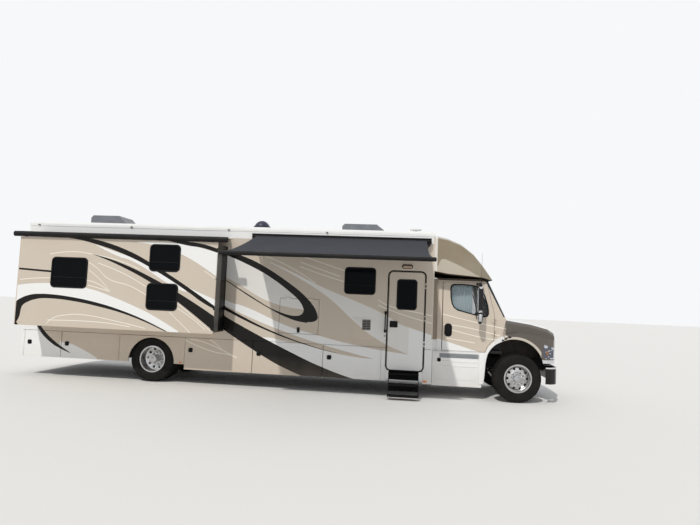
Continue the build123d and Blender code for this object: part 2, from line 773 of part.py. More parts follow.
with BuildPart() as wall_right:
    block((rear_x + wall, house_front_x), (side_y, -inner_y), (floor_bottom, wall_top))
    opening_x = (slide_rear_x - moving_gap, slide_front_x + moving_gap)
    opening_z = (slide_bottom - seat_gap, slide_top + moving_gap)
    block(opening_x, (side_y, -inner_y), opening_z, Mode.SUBTRACT)
    doorway_x = (entry_rear_x - panel_gap, entry_front_x + panel_gap)
    side_window(doorway_x, (500, door_top + panel_gap), door_corner, -inner_y, wall, Mode.SUBTRACT)
    block((tv_door[0], tv_door[1]), (side_y, -inner_y), (tv_door[2], tv_door[3]), Mode.SUBTRACT)
    for low_x, high_x, low_z, high_z, side in window_table:
        if side < 0:
            side_window((low_x, high_x), (low_z, high_z), window_corner, -inner_y, wall, Mode.SUBTRACT)
    block((slide_rear_x - 100, slide_front_x + 100), (side_y - 8, side_y + 1), (3292, 3310))
    for z in entry_hinge_levels:
        for end in (-1, 1):
            middle = z + end * (barrel_height / 2 + seat_gap + lug_height / 2)
            low_high = (middle - lug_height / 2, middle + lug_height / 2)
            rod((entry_front_x, barrel_y, middle), "Z", barrel_radius, lug_height)
            block((entry_front_x, entry_front_x + 40), (barrel_y + 2, side_y + 1), low_high)
    for x in (tv_door[0] + 200, tv_door[1] - 200):
        for end in (-1, 1):
            middle = x + end * (barrel_height / 2 + seat_gap + lug_height / 2)
            low_high = (middle - lug_height / 2, middle + lug_height / 2)
            rod((middle, barrel_y, tv_door[3]), "X", barrel_radius, lug_height)
            block(low_high, (barrel_y + 2, side_y + 1), (tv_door[3], tv_door[3] + 40))
save(wall_right, "wall_right")

with BuildPart() as wall_left:
    block((rear_x + wall, house_front_x), (inner_y, house_half_width), (floor_bottom, wall_top))
    for low_x, high_x, low_z, high_z, side in window_table:
        if side > 0:
            side_window((low_x, high_x), (low_z, high_z), window_corner, house_half_width, wall, Mode.SUBTRACT)
save(wall_left, "wall_left")

with BuildPart() as house_windows:
    for low_x, high_x, low_z, high_z, side in window_table:
        pane_y = -inner_y - 10 if side < 0 else house_half_width - 10
        pane_x = (low_x + seat_gap, high_x - seat_gap)
        side_window(pane_x, (low_z + seat_gap, high_z - seat_gap), window_corner - seat_gap, pane_y, 24)
save(house_windows, "house_windows")

front_wall_thickness = 30
tail_lamp_levels = (1000, 1160)
tail_lamp_y = 1120
tail_lamp_radius = 60
lamp_depth = 16
collar_half = 1030
with BuildPart() as wall_front:
    block((house_front_x, house_front_x + front_wall_thickness), (side_y, house_half_width), (305, wall_top))
    block((house_front_x, cab_rear_x - seat_gap), (-collar_half, collar_half), (cab_floor, 2590))
    block((house_front_x - 1, cab_rear_x + 1), (-700, 700), (floor_top + seat_gap, 2400), Mode.SUBTRACT)
    block((house_front_x - 1, cab_rear_x + 1), (-500, 500), (300, floor_bottom - seat_gap), Mode.SUBTRACT)
save(wall_front, "wall_front")

with BuildPart() as wall_rear:
    block((rear_x, rear_x + wall), (side_y, house_half_width), (skirt_bottom_rear, wall_top))
    rear_corners = wall_rear.edges().filter_by(Axis.Z).group_by(Axis.X)[0]
    fillet(rear_corners, radius=40)
    for side in (-1, 1):
        for z in tail_lamp_levels:
            rod((rear_x + lamp_depth / 2, side * tail_lamp_y, z), "X", tail_lamp_radius, lamp_depth, Mode.SUBTRACT)
save(wall_rear, "wall_rear")

# Roof: crowned slab with rounded side edges and a sloped rear corner
with BuildPart() as roof:
    with BuildSketch(Plane.YZ.offset(rear_x)):
        with BuildLine():
            bend = roof_edge_radius
            top = ThreePointArc((bend - house_half_width, roof_top), (0, roof_top + roof_crown), (house_half_width - bend, roof_top))
            right = RadiusArc(top @ 1, (house_half_width, roof_top - bend), bend)
            left = RadiusArc((-house_half_width, roof_top - bend), top @ 0, bend)
            Polyline(right @ 1, (house_half_width, wall_top), (-house_half_width, wall_top), left @ 0)
        make_face()
    extrude(amount=house_front_x + front_wall_thickness - rear_x)
    side_outline(
        ((rear_x - 1, roof_top - 70), (rear_x + 120, roof_top + roof_crown + 1), (rear_x - 1, roof_top + roof_crown + 1)),
        house_half_width + 1,
        2 * house_half_width + 2,
        Mode.SUBTRACT,
    )
save(roof, "roof")

# Cap over the cab
cap_sections = (
    # x ahead of the house, half width, underside, shoulder height, crown height
    (0, house_half_width, 2740, 3480, 3635),
    (290, house_half_width - 8, 2692, 3430, 3575),
    (590, house_half_width - 40, 2672, 3310, 3455),
    (850, 1180, 2656, 3120, 3260),
    (1060, 1090, 2642, 2890, 3020),
    (1290, 900, 2592, 2622, 2652),
)
cap_rear_x = house_front_x + front_wall_thickness + seat_gap
with BuildPart() as cab_cap:
    for index in range(len(cap_sections) - 1):
        for ahead, half, under, shoulder, crown in cap_sections[index:index + 2]:
            with BuildSketch(Plane.YZ.offset(cap_rear_x + ahead)):
                with BuildLine():
                    top = ThreePointArc((-half + 40, shoulder), (0, crown), (half - 40, shoulder))
                    Polyline(top @ 1, (half, shoulder - 20), (half, under), (-half, under), (-half, shoulder - 20), top @ 0)
                make_face()
        loft(ruled=True)
save(cab_cap, "cab_cap")

# Lower body: fixed side panels, arches, and baggage bays hung from the floor
door_leaf = 34
leaf_inner = house_half_width - door_leaf
bay_outer = leaf_inner - 6
bay_inner = 510
skirt_top = floor_bottom - 9
fixed_panel = 45
latch_radius = 42
rear_arch_radius = 545
rear_arch_z = 455
arch_rear_x = rear_axle_x - 765
arch_front_x = rear_axle_x + 780
post_rear_x = entry_rear_x - 128
baggage_doors = (
    # name, rear x, front x, bottom, side
    ("baggage_door_right_1", rear_x + 100, rear_x + 1020, skirt_bottom_rear, -1),
    ("baggage_door_right_2", rear_x + 1020, arch_rear_x, skirt_bottom_rear, -1),
    ("baggage_door_right_3", arch_front_x, arch_front_x + 1569, skirt_bottom_front, -1),
    ("baggage_door_right_4", arch_front_x + 1569, arch_front_x + 3148, skirt_bottom_front, -1),
    ("baggage_door_right_5", arch_front_x + 3148, post_rear_x, skirt_bottom_front, -1),
    ("baggage_door_left_1", rear_x + 1020, arch_rear_x, skirt_bottom_rear, 1),
    ("baggage_door_left_2", arch_front_x + 3148, post_rear_x, skirt_bottom_front, 1),
)


def barrel_levels(low):
    return (low + 130, skirt_top - 110)


def lower_body(side, fixed_panels):
    """Skirt, bays and hinge lugs, drawn on the right-hand side."""
    with BuildPart() as body:
        for rear, front, low in fixed_panels:
            block((rear, front), (-house_half_width, fixed_panel - house_half_width), (low, skirt_top))
        for name, rear, front, low, door_side in baggage_doors:
            if door_side == side:
                block((rear - 8, front + 8), (-bay_outer, -bay_inner), (low + 15, floor_bottom - seat_gap))
        for name, rear, front, low, door_side in baggage_doors:
            if door_side == side:
                block((rear + 12, front - 12), (-bay_outer, -bay_inner - 15), (low + 30, skirt_top - 12), Mode.SUBTRACT)
        with BuildSketch(Plane.XZ.offset(bay_inner)) as arch:
            with Locations((rear_axle_x, rear_arch_z)):
                Circle(rear_arch_radius)
        extrude(arch.sketch, amount=house_half_width, mode=Mode.SUBTRACT)
        for name, rear, front, low, door_side in baggage_doors:
            if door_side == side:
                for z in barrel_levels(low):
                    for end in (-1, 1):
                        middle = z + end * (barrel_height / 2 + seat_gap + lug_height / 2)
                        low_high = (middle - lug_height / 2, middle + lug_height / 2)
                        rod((front - panel_gap, barrel_y, middle), "Z", barrel_radius, lug_height)
                        block((front - leaf_half, front + leaf_half), (barrel_y, 5 - bay_outer), low_high)
    return body.part


arch_panel = (arch_rear_x, arch_front_x, skirt_bottom_rear)
front_post = (entry_front_x + panel_gap, house_front_x, 305)
with BuildPart() as lower_body_right:
    add(lower_body(-1, (arch_panel, (post_rear_x, entry_rear_x - panel_gap, skirt_bottom_front), front_post, (rear_x + wall, rear_x + 100, skirt_bottom_rear))))
    well = (entry_rear_x - 28, entry_front_x + 28)
    block(well, (-leaf_inner + 6, stepwell_depth - inner_y), (stepwell_low, floor_bottom - seat_gap))
    hollow = (entry_rear_x - panel_gap, entry_front_x + panel_gap)
    block(hollow, (-leaf_inner + 6, stepwell_depth - inner_y - 15), (stepwell_low + 15, floor_bottom), Mode.SUBTRACT)
save(lower_body_right, "lower_body_right")

with BuildPart() as lower_body_left_drawn:
    left_panels = (
        arch_panel,
        (rear_x + wall, rear_x + 1020, skirt_bottom_rear),
        (arch_front_x, arch_front_x + 3148, skirt_bottom_front),
        (post_rear_x, house_front_x, skirt_bottom_front),
    )
    add(lower_body(1, left_panels))
save_mirrored(lower_body_left_drawn, "lower_body_left")

for name, rear, front, low, side in baggage_doors:
    with BuildPart() as baggage_door:
        block((rear + panel_gap, front - panel_gap), (-house_half_width, -leaf_inner), (low, skirt_top))
        for z in barrel_levels(low):
            leaf_z = (z - barrel_height / 2, z + barrel_height / 2)
            rod((front - panel_gap, barrel_y, z), "Z", barrel_radius, barrel_height)
            block((front - 55, front - panel_gap), (barrel_y + 2, 1 - house_half_width), leaf_z)
        rod((rear + 140, -house_half_width - 3, skirt_top - 270), "Y", latch_radius, 8)
    if side < 0:
        save(baggage_door, name)
    else:
        save_mirrored(baggage_door, name)

# Compartment door in the house wall, hinged along its top edge
with BuildPart() as compartment_door:
    low_x, high_x, low_z, high_z = tv_door
    block((low_x + panel_gap, high_x - panel_gap), (-house_half_width, -leaf_inner), (low_z + panel_gap, high_z - panel_gap))
    for x in (low_x + 200, high_x - 200):
        rod((x, barrel_y, high_z), "X", barrel_radius, 60)
        block((x - 30, x + 30), (barrel_y + 2, 1 - house_half_width), (high_z - 40, high_z))
    block(((low_x + high_x) / 2 - 14, (low_x + high_x) / 2 + 14), (-house_half_width - 10, 1 - house_half_width), (low_z + 50, low_z + 130))
save(compartment_door, "compartment_door")

# Entry door with its window, latch and hinge barrels
door_window_x = (entry_rear_x + 175, entry_rear_x + 592)
door_window_z = (1882, 2522)
with BuildPart() as entry_door:
    side_window((entry_rear_x, entry_front_x), (door_bottom, door_top), door_corner - panel_gap, -leaf_inner, door_leaf)
    block((entry_rear_x, entry_front_x), (-house_half_width, -leaf_inner), (door_bottom, door_bottom + 200))
    side_window(door_window_x, door_window_z, 60, -leaf_inner, door_leaf, Mode.SUBTRACT)
    block((entry_rear_x + 30, entry_rear_x + 160), (-house_half_width - 14, 1 - house_half_width), (1500, 1595))
    for z in entry_hinge_levels:
        rod((entry_front_x, barrel_y, z), "Z", barrel_radius, barrel_height)
        block((entry_front_x - 45, entry_front_x), (barrel_y + 2, 1 - house_half_width), (z - 30, z + 30))
save(entry_door, "entry_door")

with BuildPart() as entry_door_glass:
    pane_x = (door_window_x[0] + seat_gap, door_window_x[1] - seat_gap)
    pane_z = (door_window_z[0] + seat_gap, door_window_z[1] - seat_gap)
    side_window(pane_x, pane_z, 60 - seat_gap, -leaf_inner - 8, 20)
save(entry_door_glass, "entry_door_glass")

# Slide-out room: five-walled box with a flanged outer wall
slide_inner_y = -inner_y + 80
slide_windows = (
    # rear x, front x, bottom, top
    (slide_rear_x + 770, slide_rear_x + 1590, 2055, 2705),
    (slide_rear_x + 3010, slide_rear_x + 3680, 2487, 3054),
    (slide_rear_x + 2990, slide_rear_x + 3670, 1655, 2211),
)
with BuildPart() as slide_room:
    block((slide_rear_x, slide_front_x), (slide_outer_y, slide_inner_y), (slide_bottom, slide_top))
    flange_x = (slide_rear_x - slide_flange, slide_front_x + slide_flange)
    flange_z = (slide_bottom - slide_flange, slide_top + slide_flange)
    block(flange_x, (slide_outer_y, slide_outer_y + panel), flange_z)
    inner_x = (slide_rear_x + panel, slide_front_x - panel)
    block(inner_x, (slide_outer_y + panel, slide_inner_y), (slide_bottom + panel, slide_top - panel), Mode.SUBTRACT)
    for low_x, high_x, low_z, high_z in slide_windows:
        side_window((low_x, high_x), (low_z, high_z), window_corner, slide_outer_y + panel, panel, Mode.SUBTRACT)
save(slide_room, "slide_room")

with BuildPart() as slide_glass:
    for low_x, high_x, low_z, high_z in slide_windows:
        pane_x = (low_x + seat_gap, high_x - seat_gap)
        side_window(pane_x, (low_z + seat_gap, high_z - seat_gap), window_corner - seat_gap, slide_outer_y + 32, 24)
save(slide_glass, "slide_glass")

# Slide topper: roller cover on the room's outer edge, fabric back to the wall
topper_radius = 58
topper_y = slide_outer_y - 20
topper_z = flange_z[1] + topper_radius + 2
topper_x = (slide_rear_x - 150, slide_front_x + 240)
with BuildPart() as topper_roller:
    rod(((topper_x[0] + topper_x[1]) / 2, topper_y, topper_z), "X", topper_radius, topper_x[1] - topper_x[0])
    for x in (slide_rear_x + 100, slide_rear_x + 2100, slide_front_x - 100):
        block((x - 40, x + 40), (slide_outer_y, slide_outer_y + 30), (flange_z[1] + seat_gap, topper_z))
save(topper_roller, "topper_roller")

rail_outer_y = side_y - 8
with BuildPart() as topper_fabric:
    with BuildSketch(Plane.YZ.offset(slide_rear_x - 60)):
        with BuildLine():
            over = topper_z + topper_radius + seat_gap
            Polyline((rail_outer_y - seat_gap, 3300), (rail_outer_y - seat_gap, 3303), (topper_y, over + 3), (topper_y, over), close=True)
        make_face()
    extrude(amount=slide_length + 120)
save(topper_fabric, "topper_fabric")

# Awning: cassette on the wall, two arms, lead bar and fabric
awning_low_x = awning_x - awning_length / 2
awning_high_x = awning_x + awning_length / 2
with BuildPart() as awning_frame:
    with BuildSketch(Plane.YZ.offset(awning_low_x)):
        with BuildLine():
            Polyline((side_y - seat_gap, 3320), (side_y - seat_gap, 3435), (side_y - 70, 3435))
            ThreePointArc((side_y - 70, 3435), (awning_root_y, 3375), (side_y - 90, 3320))
            Line((side_y - 90, 3320), (side_y - seat_gap, 3320))
        make_face()
    extrude(amount=awning_length)
    rod((awning_x, bar_y, bar_z), "X", awning_bar_radius, awning_length)
    for end in (-1, 1):
        x = awning_x + end * (awning_length / 2 - 60)
        elbow = (x - end * 90, (side_y + bar_y) / 2, (awning_root_z + bar_z) / 2 - 60)
        shoulder = (x, side_y - 60, 3296)
        beam(shoulder, elbow, 40, 36)
        beam(elbow, (x, bar_y, bar_z), 36, 30)
        with Locations(elbow):
            Sphere(32)
        block((x - 40, x + 40), (side_y - 110, side_y - seat_gap), (3270, 3330))
save(awning_frame, "awning_frame")

with BuildPart() as awning_fabric:
    with BuildSketch(Plane.YZ.offset(awning_low_x + 100)):
        with BuildLine():
            root = (awning_root_y - seat_gap, 3375)
            tip = (bar_y + awning_bar_radius + seat_gap, bar_z + 10)
            Polyline(root, (root[0], root[1] + 3), (tip[0], tip[1] + 3), tip, close=True)
        make_face()
    extrude(amount=awning_length - 200)
save(awning_fabric, "awning_fabric")

# Entry steps under the stepwell
step_x = (entry_rear_x + 40, entry_front_x - 70)
treads = (
    # outer y, inner y, top
    (-1440, -1180, 515),
    (-1590, -1390, 305),
    (-1740, -1550, 95),
)
with BuildPart() as entry_step:
    for outer, inner, top in treads:
        block(step_x, (outer, inner), (top - 25, top))
    for x in (step_x[0] + 6, step_x[1] - 6):
        beam((x, -1200, 515), (x, -1680, 60), 12, 60)
        block((x - 6, x + 6), (-1200, -950), (440, stepwell_low - seat_gap))
    block(step_x, (-960, -940), (440, stepwell_low - seat_gap))
save(entry_step, "entry_step")

# Roof equipment: two air conditioners, dome, antenna and vents
crown_z = roof_top + roof_crown + seat_gap
with BuildPart() as roof_equipment:
    for rear, front, high in ((rear_x + 930, rear_x + 1860, 3905), (house_front_x - 2145, house_front_x - 1125, 3860)):
        with BuildSketch(Plane.XZ.offset(-330)) as shroud:
            with BuildLine():
                Polyline((rear, crown_z), (front, crown_z), (front - 20, crown_z + 90), (front - 190, high), (rear + 60, high), (rear, high - 60), close=True)
            make_face()
        extrude(amount=660)
    rod((-775, -200, crown_z + 55), "Z", 205, 110)
    with Locations((-775, -200, crown_z + 60)):
        Sphere(190)
    block((-985, -565), (-420, 20), (crown_z - 200, crown_z), Mode.SUBTRACT)
    for x in (-3300, -1900):
        block((x - 200, x + 200), (-200, 200), (crown_z, crown_z + 70))
    block((2790, 3090), (-110, 110), (crown_z, crown_z + 75))
    rod((2990, 0, crown_z + 110), "Z", 20, 90)
    rod((2990, 0, crown_z + 160), "Z", 140, 24)
save(roof_equipment, "roof_equipment")

# Lamps: tail, marker and porch
with BuildPart() as lamps:
    for side in (-1, 1):
        for z in tail_lamp_levels:
            rod((rear_x + lamp_depth / 2, side * tail_lamp_y, z), "X", tail_lamp_radius - seat_gap, lamp_depth - 2 * seat_gap)
    for side in (-1, 1):
        y = sorted((side * (house_half_width + seat_gap), side * (house_half_width + 12)))
        block((house_front_x - 150, house_front_x - 70), y, (340, 375))
        block((arch_front_x - 110, arch_front_x - 50), y, (460, 490))
    block((entry_rear_x + 300, entry_rear_x + 460), (side_y - 50, side_y - seat_gap), (2780, 2830))
save(lamps, "lamps")

# Wheels: one revolved section for each tyre, rims with ten hand holes
hand_holes = 10
hand_hole_radius = 28
rim_lip = 300
rim_inner = 272


def revolved(centre, points):
    """Ring about the axle through centre, from (offset along Y, radius) points."""
    plane = Plane(origin=centre, x_dir=(0, 1, 0), z_dir=(1, 0, 0))
    with BuildSketch(plane) as section:
        with BuildLine():
            Polyline(*points, close=True)
        make_face()
    revolve(section.sketch, axis=Axis(centre, (0, 1, 0)))


def tyre(centre):
    """Tyre about the axle through centre."""
    plane = Plane(origin=centre, x_dir=(0, 1, 0), z_dir=(1, 0, 0))
    half = tyre_width / 2
    bead = (105, rim_radius + seat_gap)
    side = (half, 0.76 * tyre_radius)
    edge = (half - 12, 0.94 * tyre_radius)
    shoulder = (half - 30, tyre_radius - 4)
    with BuildSketch(plane) as section:
        with BuildLine():
            right = (bead, side, edge, shoulder)
            left = [(-offset_y, radius) for offset_y, radius in reversed(right)]
            Polyline(*right, (0, tyre_radius), *left, close=True)
        make_face()
    revolve(section.sketch, axis=Axis(centre, (0, 1, 0)))


def rim(centre, dish, hub_low, hub_high, hub_radius):
    """Rim barrel with lips, disc at offset dish, and hub, drawn for the right-hand side."""
    barrel = (
        (-124, rim_lip),
        (-114, rim_lip),
        (-114, rim_radius),
        (114, rim_radius),
        (114, rim_lip),
        (124, rim_lip),
        (124, rim_inner),
        (-124, rim_inner),
    )
    revolved(centre, barrel)
    disc = (
        (dish[0], rim_inner + 2),
        (dish[0] + 14, rim_inner + 2),
        (dish[1] + 14, 150),
        (dish[1] + 14, hub_radius - 2),
        (dish[1], hub_radius - 2),
        (dish[1], 150),
    )
    revolved(centre, disc)
    with Locations(Location(centre, (90, 0, 0))):
        with PolarLocations(212, hand_holes):
            Cylinder(hand_hole_radius, 400, mode=Mode.SUBTRACT)
    rod((centre[0], centre[1] + (hub_low + hub_high) / 2, centre[2]), "Y", hub_radius, hub_high - hub_low)


def save_steered(piece, label, side):
    """Right-hand piece about its kingpin, mirrored for the left, turned to the rest angle."""
    turned = piece.part if side < 0 else piece.part.mirror(Plane.XZ)
    pin = Axis((front_axle_x, side * kingpin_y, 0), (0, 0, 1))
    turned = turned.rotate(pin, steer_rest).moved(Location((0, centre_shift, 0)))
    turned.label = label
    export_step(turned, f"parts/{label}.step")


front_centre = (front_axle_x, -front_track_half, wheel_z)
knuckle_face = kingpin_y + 62
arm_length = 220
ear_gap = 0.3
with BuildPart() as front_tyre:
    tyre(front_centre)
with BuildPart() as front_rim:
    rim(front_centre, (-40, -85), -135, 70, 80)
    bore_end = front_track_half + 95
    bore_start = knuckle_face + 30
    rod((front_axle_x, -(bore_start + bore_end) / 2, wheel_z), "Y", spindle_radius + shaft_gap, bore_end - bore_start, Mode.SUBTRACT)
with BuildPart() as knuckle:
    for low, high in ((eye_low - 40, eye_low - ear_gap), (eye_high + ear_gap, eye_high + 40)):
        rod((front_axle_x, -kingpin_y, (low + high) / 2), "Z", 52, high - low)
        block((front_axle_x - 40, front_axle_x + 40), (-knuckle_face - 10, -kingpin_y), (low, high))
    block((front_axle_x - 50, front_axle_x + 50), (-knuckle_face - 25, -knuckle_face), (eye_low - 40, eye_high + 40))
    rod((front_axle_x, -kingpin_y, (eye_low + eye_high) / 2), "Z", kingpin_radius + shaft_gap, 300, Mode.SUBTRACT)
    spindle_end = front_track_half + 90
    rod((front_axle_x, -(knuckle_face + 20 + spindle_end) / 2, wheel_z), "Y", spindle_radius, spindle_end - knuckle_face - 20)
    block((front_axle_x - arm_length - 22, front_axle_x - 40), (-kingpin_y - 18, -kingpin_y + 18), (eye_low - 40, eye_low - 16))
    rod((front_axle_x - arm_length, -kingpin_y, eye_low - 5), "Z", 11, 40)
for side, name in ((-1, "right"), (1, "left")):
    save_steered(front_tyre, f"front_tyre_{name}", side)
    save_steered(front_rim, f"front_rim_{name}", side)
    save_steered(knuckle, f"knuckle_{name}", side)

# Tie rod between the two steering arms
turn = math.radians(steer_rest)
rod_x = front_axle_x - arm_length * math.cos(turn)
rod_shift = -arm_length * math.sin(turn)
tie_low = eye_low - 16 + seat_gap
tie_high = eye_low + 12
with BuildPart() as tie_rod:
    rod((rod_x, rod_shift, (tie_low + tie_high) / 2), "Y", 13, 2 * kingpin_y - 30)
    for side in (-1, 1):
        rod((rod_x, rod_shift + side * kingpin_y, (tie_low + tie_high) / 2), "Z", 24, tie_high - tie_low)
        rod((rod_x, rod_shift + side * kingpin_y, (tie_low + tie_high) / 2), "Z", 11 + shaft_gap, 60, Mode.SUBTRACT)
save(tie_rod, "tie_rod")

twin_middle = (twin_outer_y + twin_inner_y) / 2
with BuildPart() as rear_tyres:
    tyre((rear_axle_x, -twin_outer_y, wheel_z))
    tyre((rear_axle_x, -twin_inner_y, wheel_z))
save(rear_tyres, "rear_tyres_right")
save_mirrored(rear_tyres, "rear_tyres_left")

with BuildPart() as rear_rims:
    half_pitch = twin_outer_y - twin_middle
    rim((rear_axle_x, -twin_outer_y, wheel_z), (half_pitch - 60, half_pitch - 14), -120, half_pitch, 90)
    rim((rear_axle_x, -twin_inner_y, wheel_z), (46 - half_pitch, -half_pitch), -half_pitch, 100, 90)
    bore_low = twin_inner_y - 110
    bore_high = twin_outer_y + 45
    rod((rear_axle_x, -(bore_low + bore_high) / 2, wheel_z), "Y", rear_spindle_radius + shaft_gap, bore_high - bore_low, Mode.SUBTRACT)
save(rear_rims, "rear_rims_right")
save_mirrored(rear_rims, "rear_rims_left")
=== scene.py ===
import math
import bmesh
import bpy
from mathutils import Matrix, Vector


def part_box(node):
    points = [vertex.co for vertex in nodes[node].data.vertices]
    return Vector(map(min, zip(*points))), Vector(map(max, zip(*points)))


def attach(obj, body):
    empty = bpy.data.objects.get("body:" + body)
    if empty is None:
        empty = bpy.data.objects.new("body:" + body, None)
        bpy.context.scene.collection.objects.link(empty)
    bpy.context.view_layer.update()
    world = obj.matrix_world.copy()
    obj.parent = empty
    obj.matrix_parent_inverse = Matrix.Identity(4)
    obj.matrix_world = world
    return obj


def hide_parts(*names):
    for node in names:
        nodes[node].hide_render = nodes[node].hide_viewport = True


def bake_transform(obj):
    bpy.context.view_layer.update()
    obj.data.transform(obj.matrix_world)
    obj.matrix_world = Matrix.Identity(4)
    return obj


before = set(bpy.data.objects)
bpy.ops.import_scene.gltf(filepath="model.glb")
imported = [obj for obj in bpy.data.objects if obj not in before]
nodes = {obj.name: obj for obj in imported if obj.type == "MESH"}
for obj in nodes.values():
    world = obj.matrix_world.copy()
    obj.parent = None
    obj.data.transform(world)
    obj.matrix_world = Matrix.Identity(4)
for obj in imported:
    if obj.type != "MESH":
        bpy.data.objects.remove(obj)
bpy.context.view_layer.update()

print("frame loaded:", len(nodes), "CAD nodes")


# camera, floor and light

view = {
    "place": (2.7828, -12.0576, 2.0135),
    "yaw": -5.97,  # degrees, towards the front of the vehicle is positive
    "pitch": 4.08,
    "roll": 2.38,
    "focal": 538.95,  # pixels on a frame 700 wide
    "frameWidth": 700,
    "sensor": 36.0,
    "farthest": 300,
}


def addCamera(settings):
    yaw, pitch, roll = (math.radians(settings[key]) for key in ("yaw", "pitch", "roll"))
    ahead = Vector((math.sin(yaw) * math.cos(pitch), math.cos(yaw) * math.cos(pitch), math.sin(pitch)))
    level = Vector((math.cos(yaw), -math.sin(yaw), 0))
    upright = level.cross(ahead)
    right = math.cos(roll) * level + math.sin(roll) * upright
    up = math.cos(roll) * upright - math.sin(roll) * level
    data = bpy.data.cameras.new("camera")
    data.sensor_width = settings["sensor"]
    data.lens = settings["focal"] / settings["frameWidth"] * settings["sensor"]
    data.clip_end = settings["farthest"]
    camera = bpy.data.objects.new("camera", data)
    bpy.context.collection.objects.link(camera)
    turn = Matrix((right, up, -ahead)).transposed().to_4x4()
    camera.matrix_world = Matrix.Translation(settings["place"]) @ turn
    bpy.context.scene.camera = camera


studio = {
    "floorColour": (0.80, 0.79, 0.77, 1),
    "floorRoughness": 0.9,
    "floorHalf": 90,  # metres from its middle to its edge
    "backColour": (0.93, 0.94, 0.95, 1),
    "skyColour": (0.93, 0.96, 1.0, 1),
    "skyStrength": 0.52,
}
suns = {  # way is how the light travels, softness is in degrees
    "sun": {"way": (0.34, 1.0, -1.2), "strength": 1.95, "colour": (1.0, 0.975, 0.93), "softness": 1.5},
    "fill": {"way": (-0.4, -1.0, -0.8), "strength": 0.22, "colour": (1, 1, 1), "softness": 60},
}


def addSun(name, settings):
    data = bpy.data.lights.new(name, "SUN")
    data.energy = settings["strength"]
    data.color = settings["colour"]
    data.angle = math.radians(settings["softness"])
    lamp = bpy.data.objects.new(name, data)
    lamp.rotation_euler = Vector(settings["way"]).to_track_quat("-Z", "Y").to_euler()
    bpy.context.collection.objects.link(lamp)


def addSky(settings):  # soft light on the object, and a pale backdrop for the camera, gloss and glass
    world = bpy.data.worlds.new("studio")
    bpy.context.scene.world = world
    world.use_nodes = True
    tree = world.node_tree
    tree.nodes.clear()
    seen = tree.nodes.new("ShaderNodeBackground")
    seen.inputs["Color"].default_value = settings["backColour"]
    light = tree.nodes.new("ShaderNodeBackground")
    light.inputs["Color"].default_value = settings["skyColour"]
    light.inputs["Strength"].default_value = settings["skyStrength"]
    path = tree.nodes.new("ShaderNodeLightPath")
    shown = path.outputs["Is Camera Ray"]
    for output in ("Is Glossy Ray", "Is Transmission Ray"):
        either = tree.nodes.new("ShaderNodeMath")
        either.operation = "MAXIMUM"
        tree.links.new(shown, either.inputs[0])
        tree.links.new(path.outputs[output], either.inputs[1])
        shown = either.outputs[0]
    mix = tree.nodes.new("ShaderNodeMixShader")
    output = tree.nodes.new("ShaderNodeOutputWorld")
    tree.links.new(shown, mix.inputs["Fac"])
    tree.links.new(light.outputs[0], mix.inputs[1])
    tree.links.new(seen.outputs[0], mix.inputs[2])
    tree.links.new(mix.outputs[0], output.inputs["Surface"])


def addFloor(settings):
    shape = bmesh.new()
    bmesh.ops.create_grid(shape, x_segments=1, y_segments=1, size=settings["floorHalf"])
    mesh = bpy.data.meshes.new("floor")
    shape.to_mesh(mesh)
    shape.free()
    floor = bpy.data.objects.new("floor", mesh)
    bpy.context.collection.objects.link(floor)
    finish = bpy.data.materials.new("floor")
    finish.use_nodes = True
    skin = finish.node_tree.nodes["Principled BSDF"]
    skin.inputs["Base Color"].default_value = settings["floorColour"]
    skin.inputs["Roughness"].default_value = settings["floorRoughness"]
    mesh.materials.append(finish)


addCamera(view)
addSky(studio)
for name, settings in suns.items():
    addSun(name, settings)
addFloor(studio)
bpy.context.scene.view_settings.view_transform = "Standard"
print("camera, floor and light are set")


# finishes: their nodes read the piece's own Object coordinates

centreLine = 1.039  # y of the vehicle's middle plane in the frame


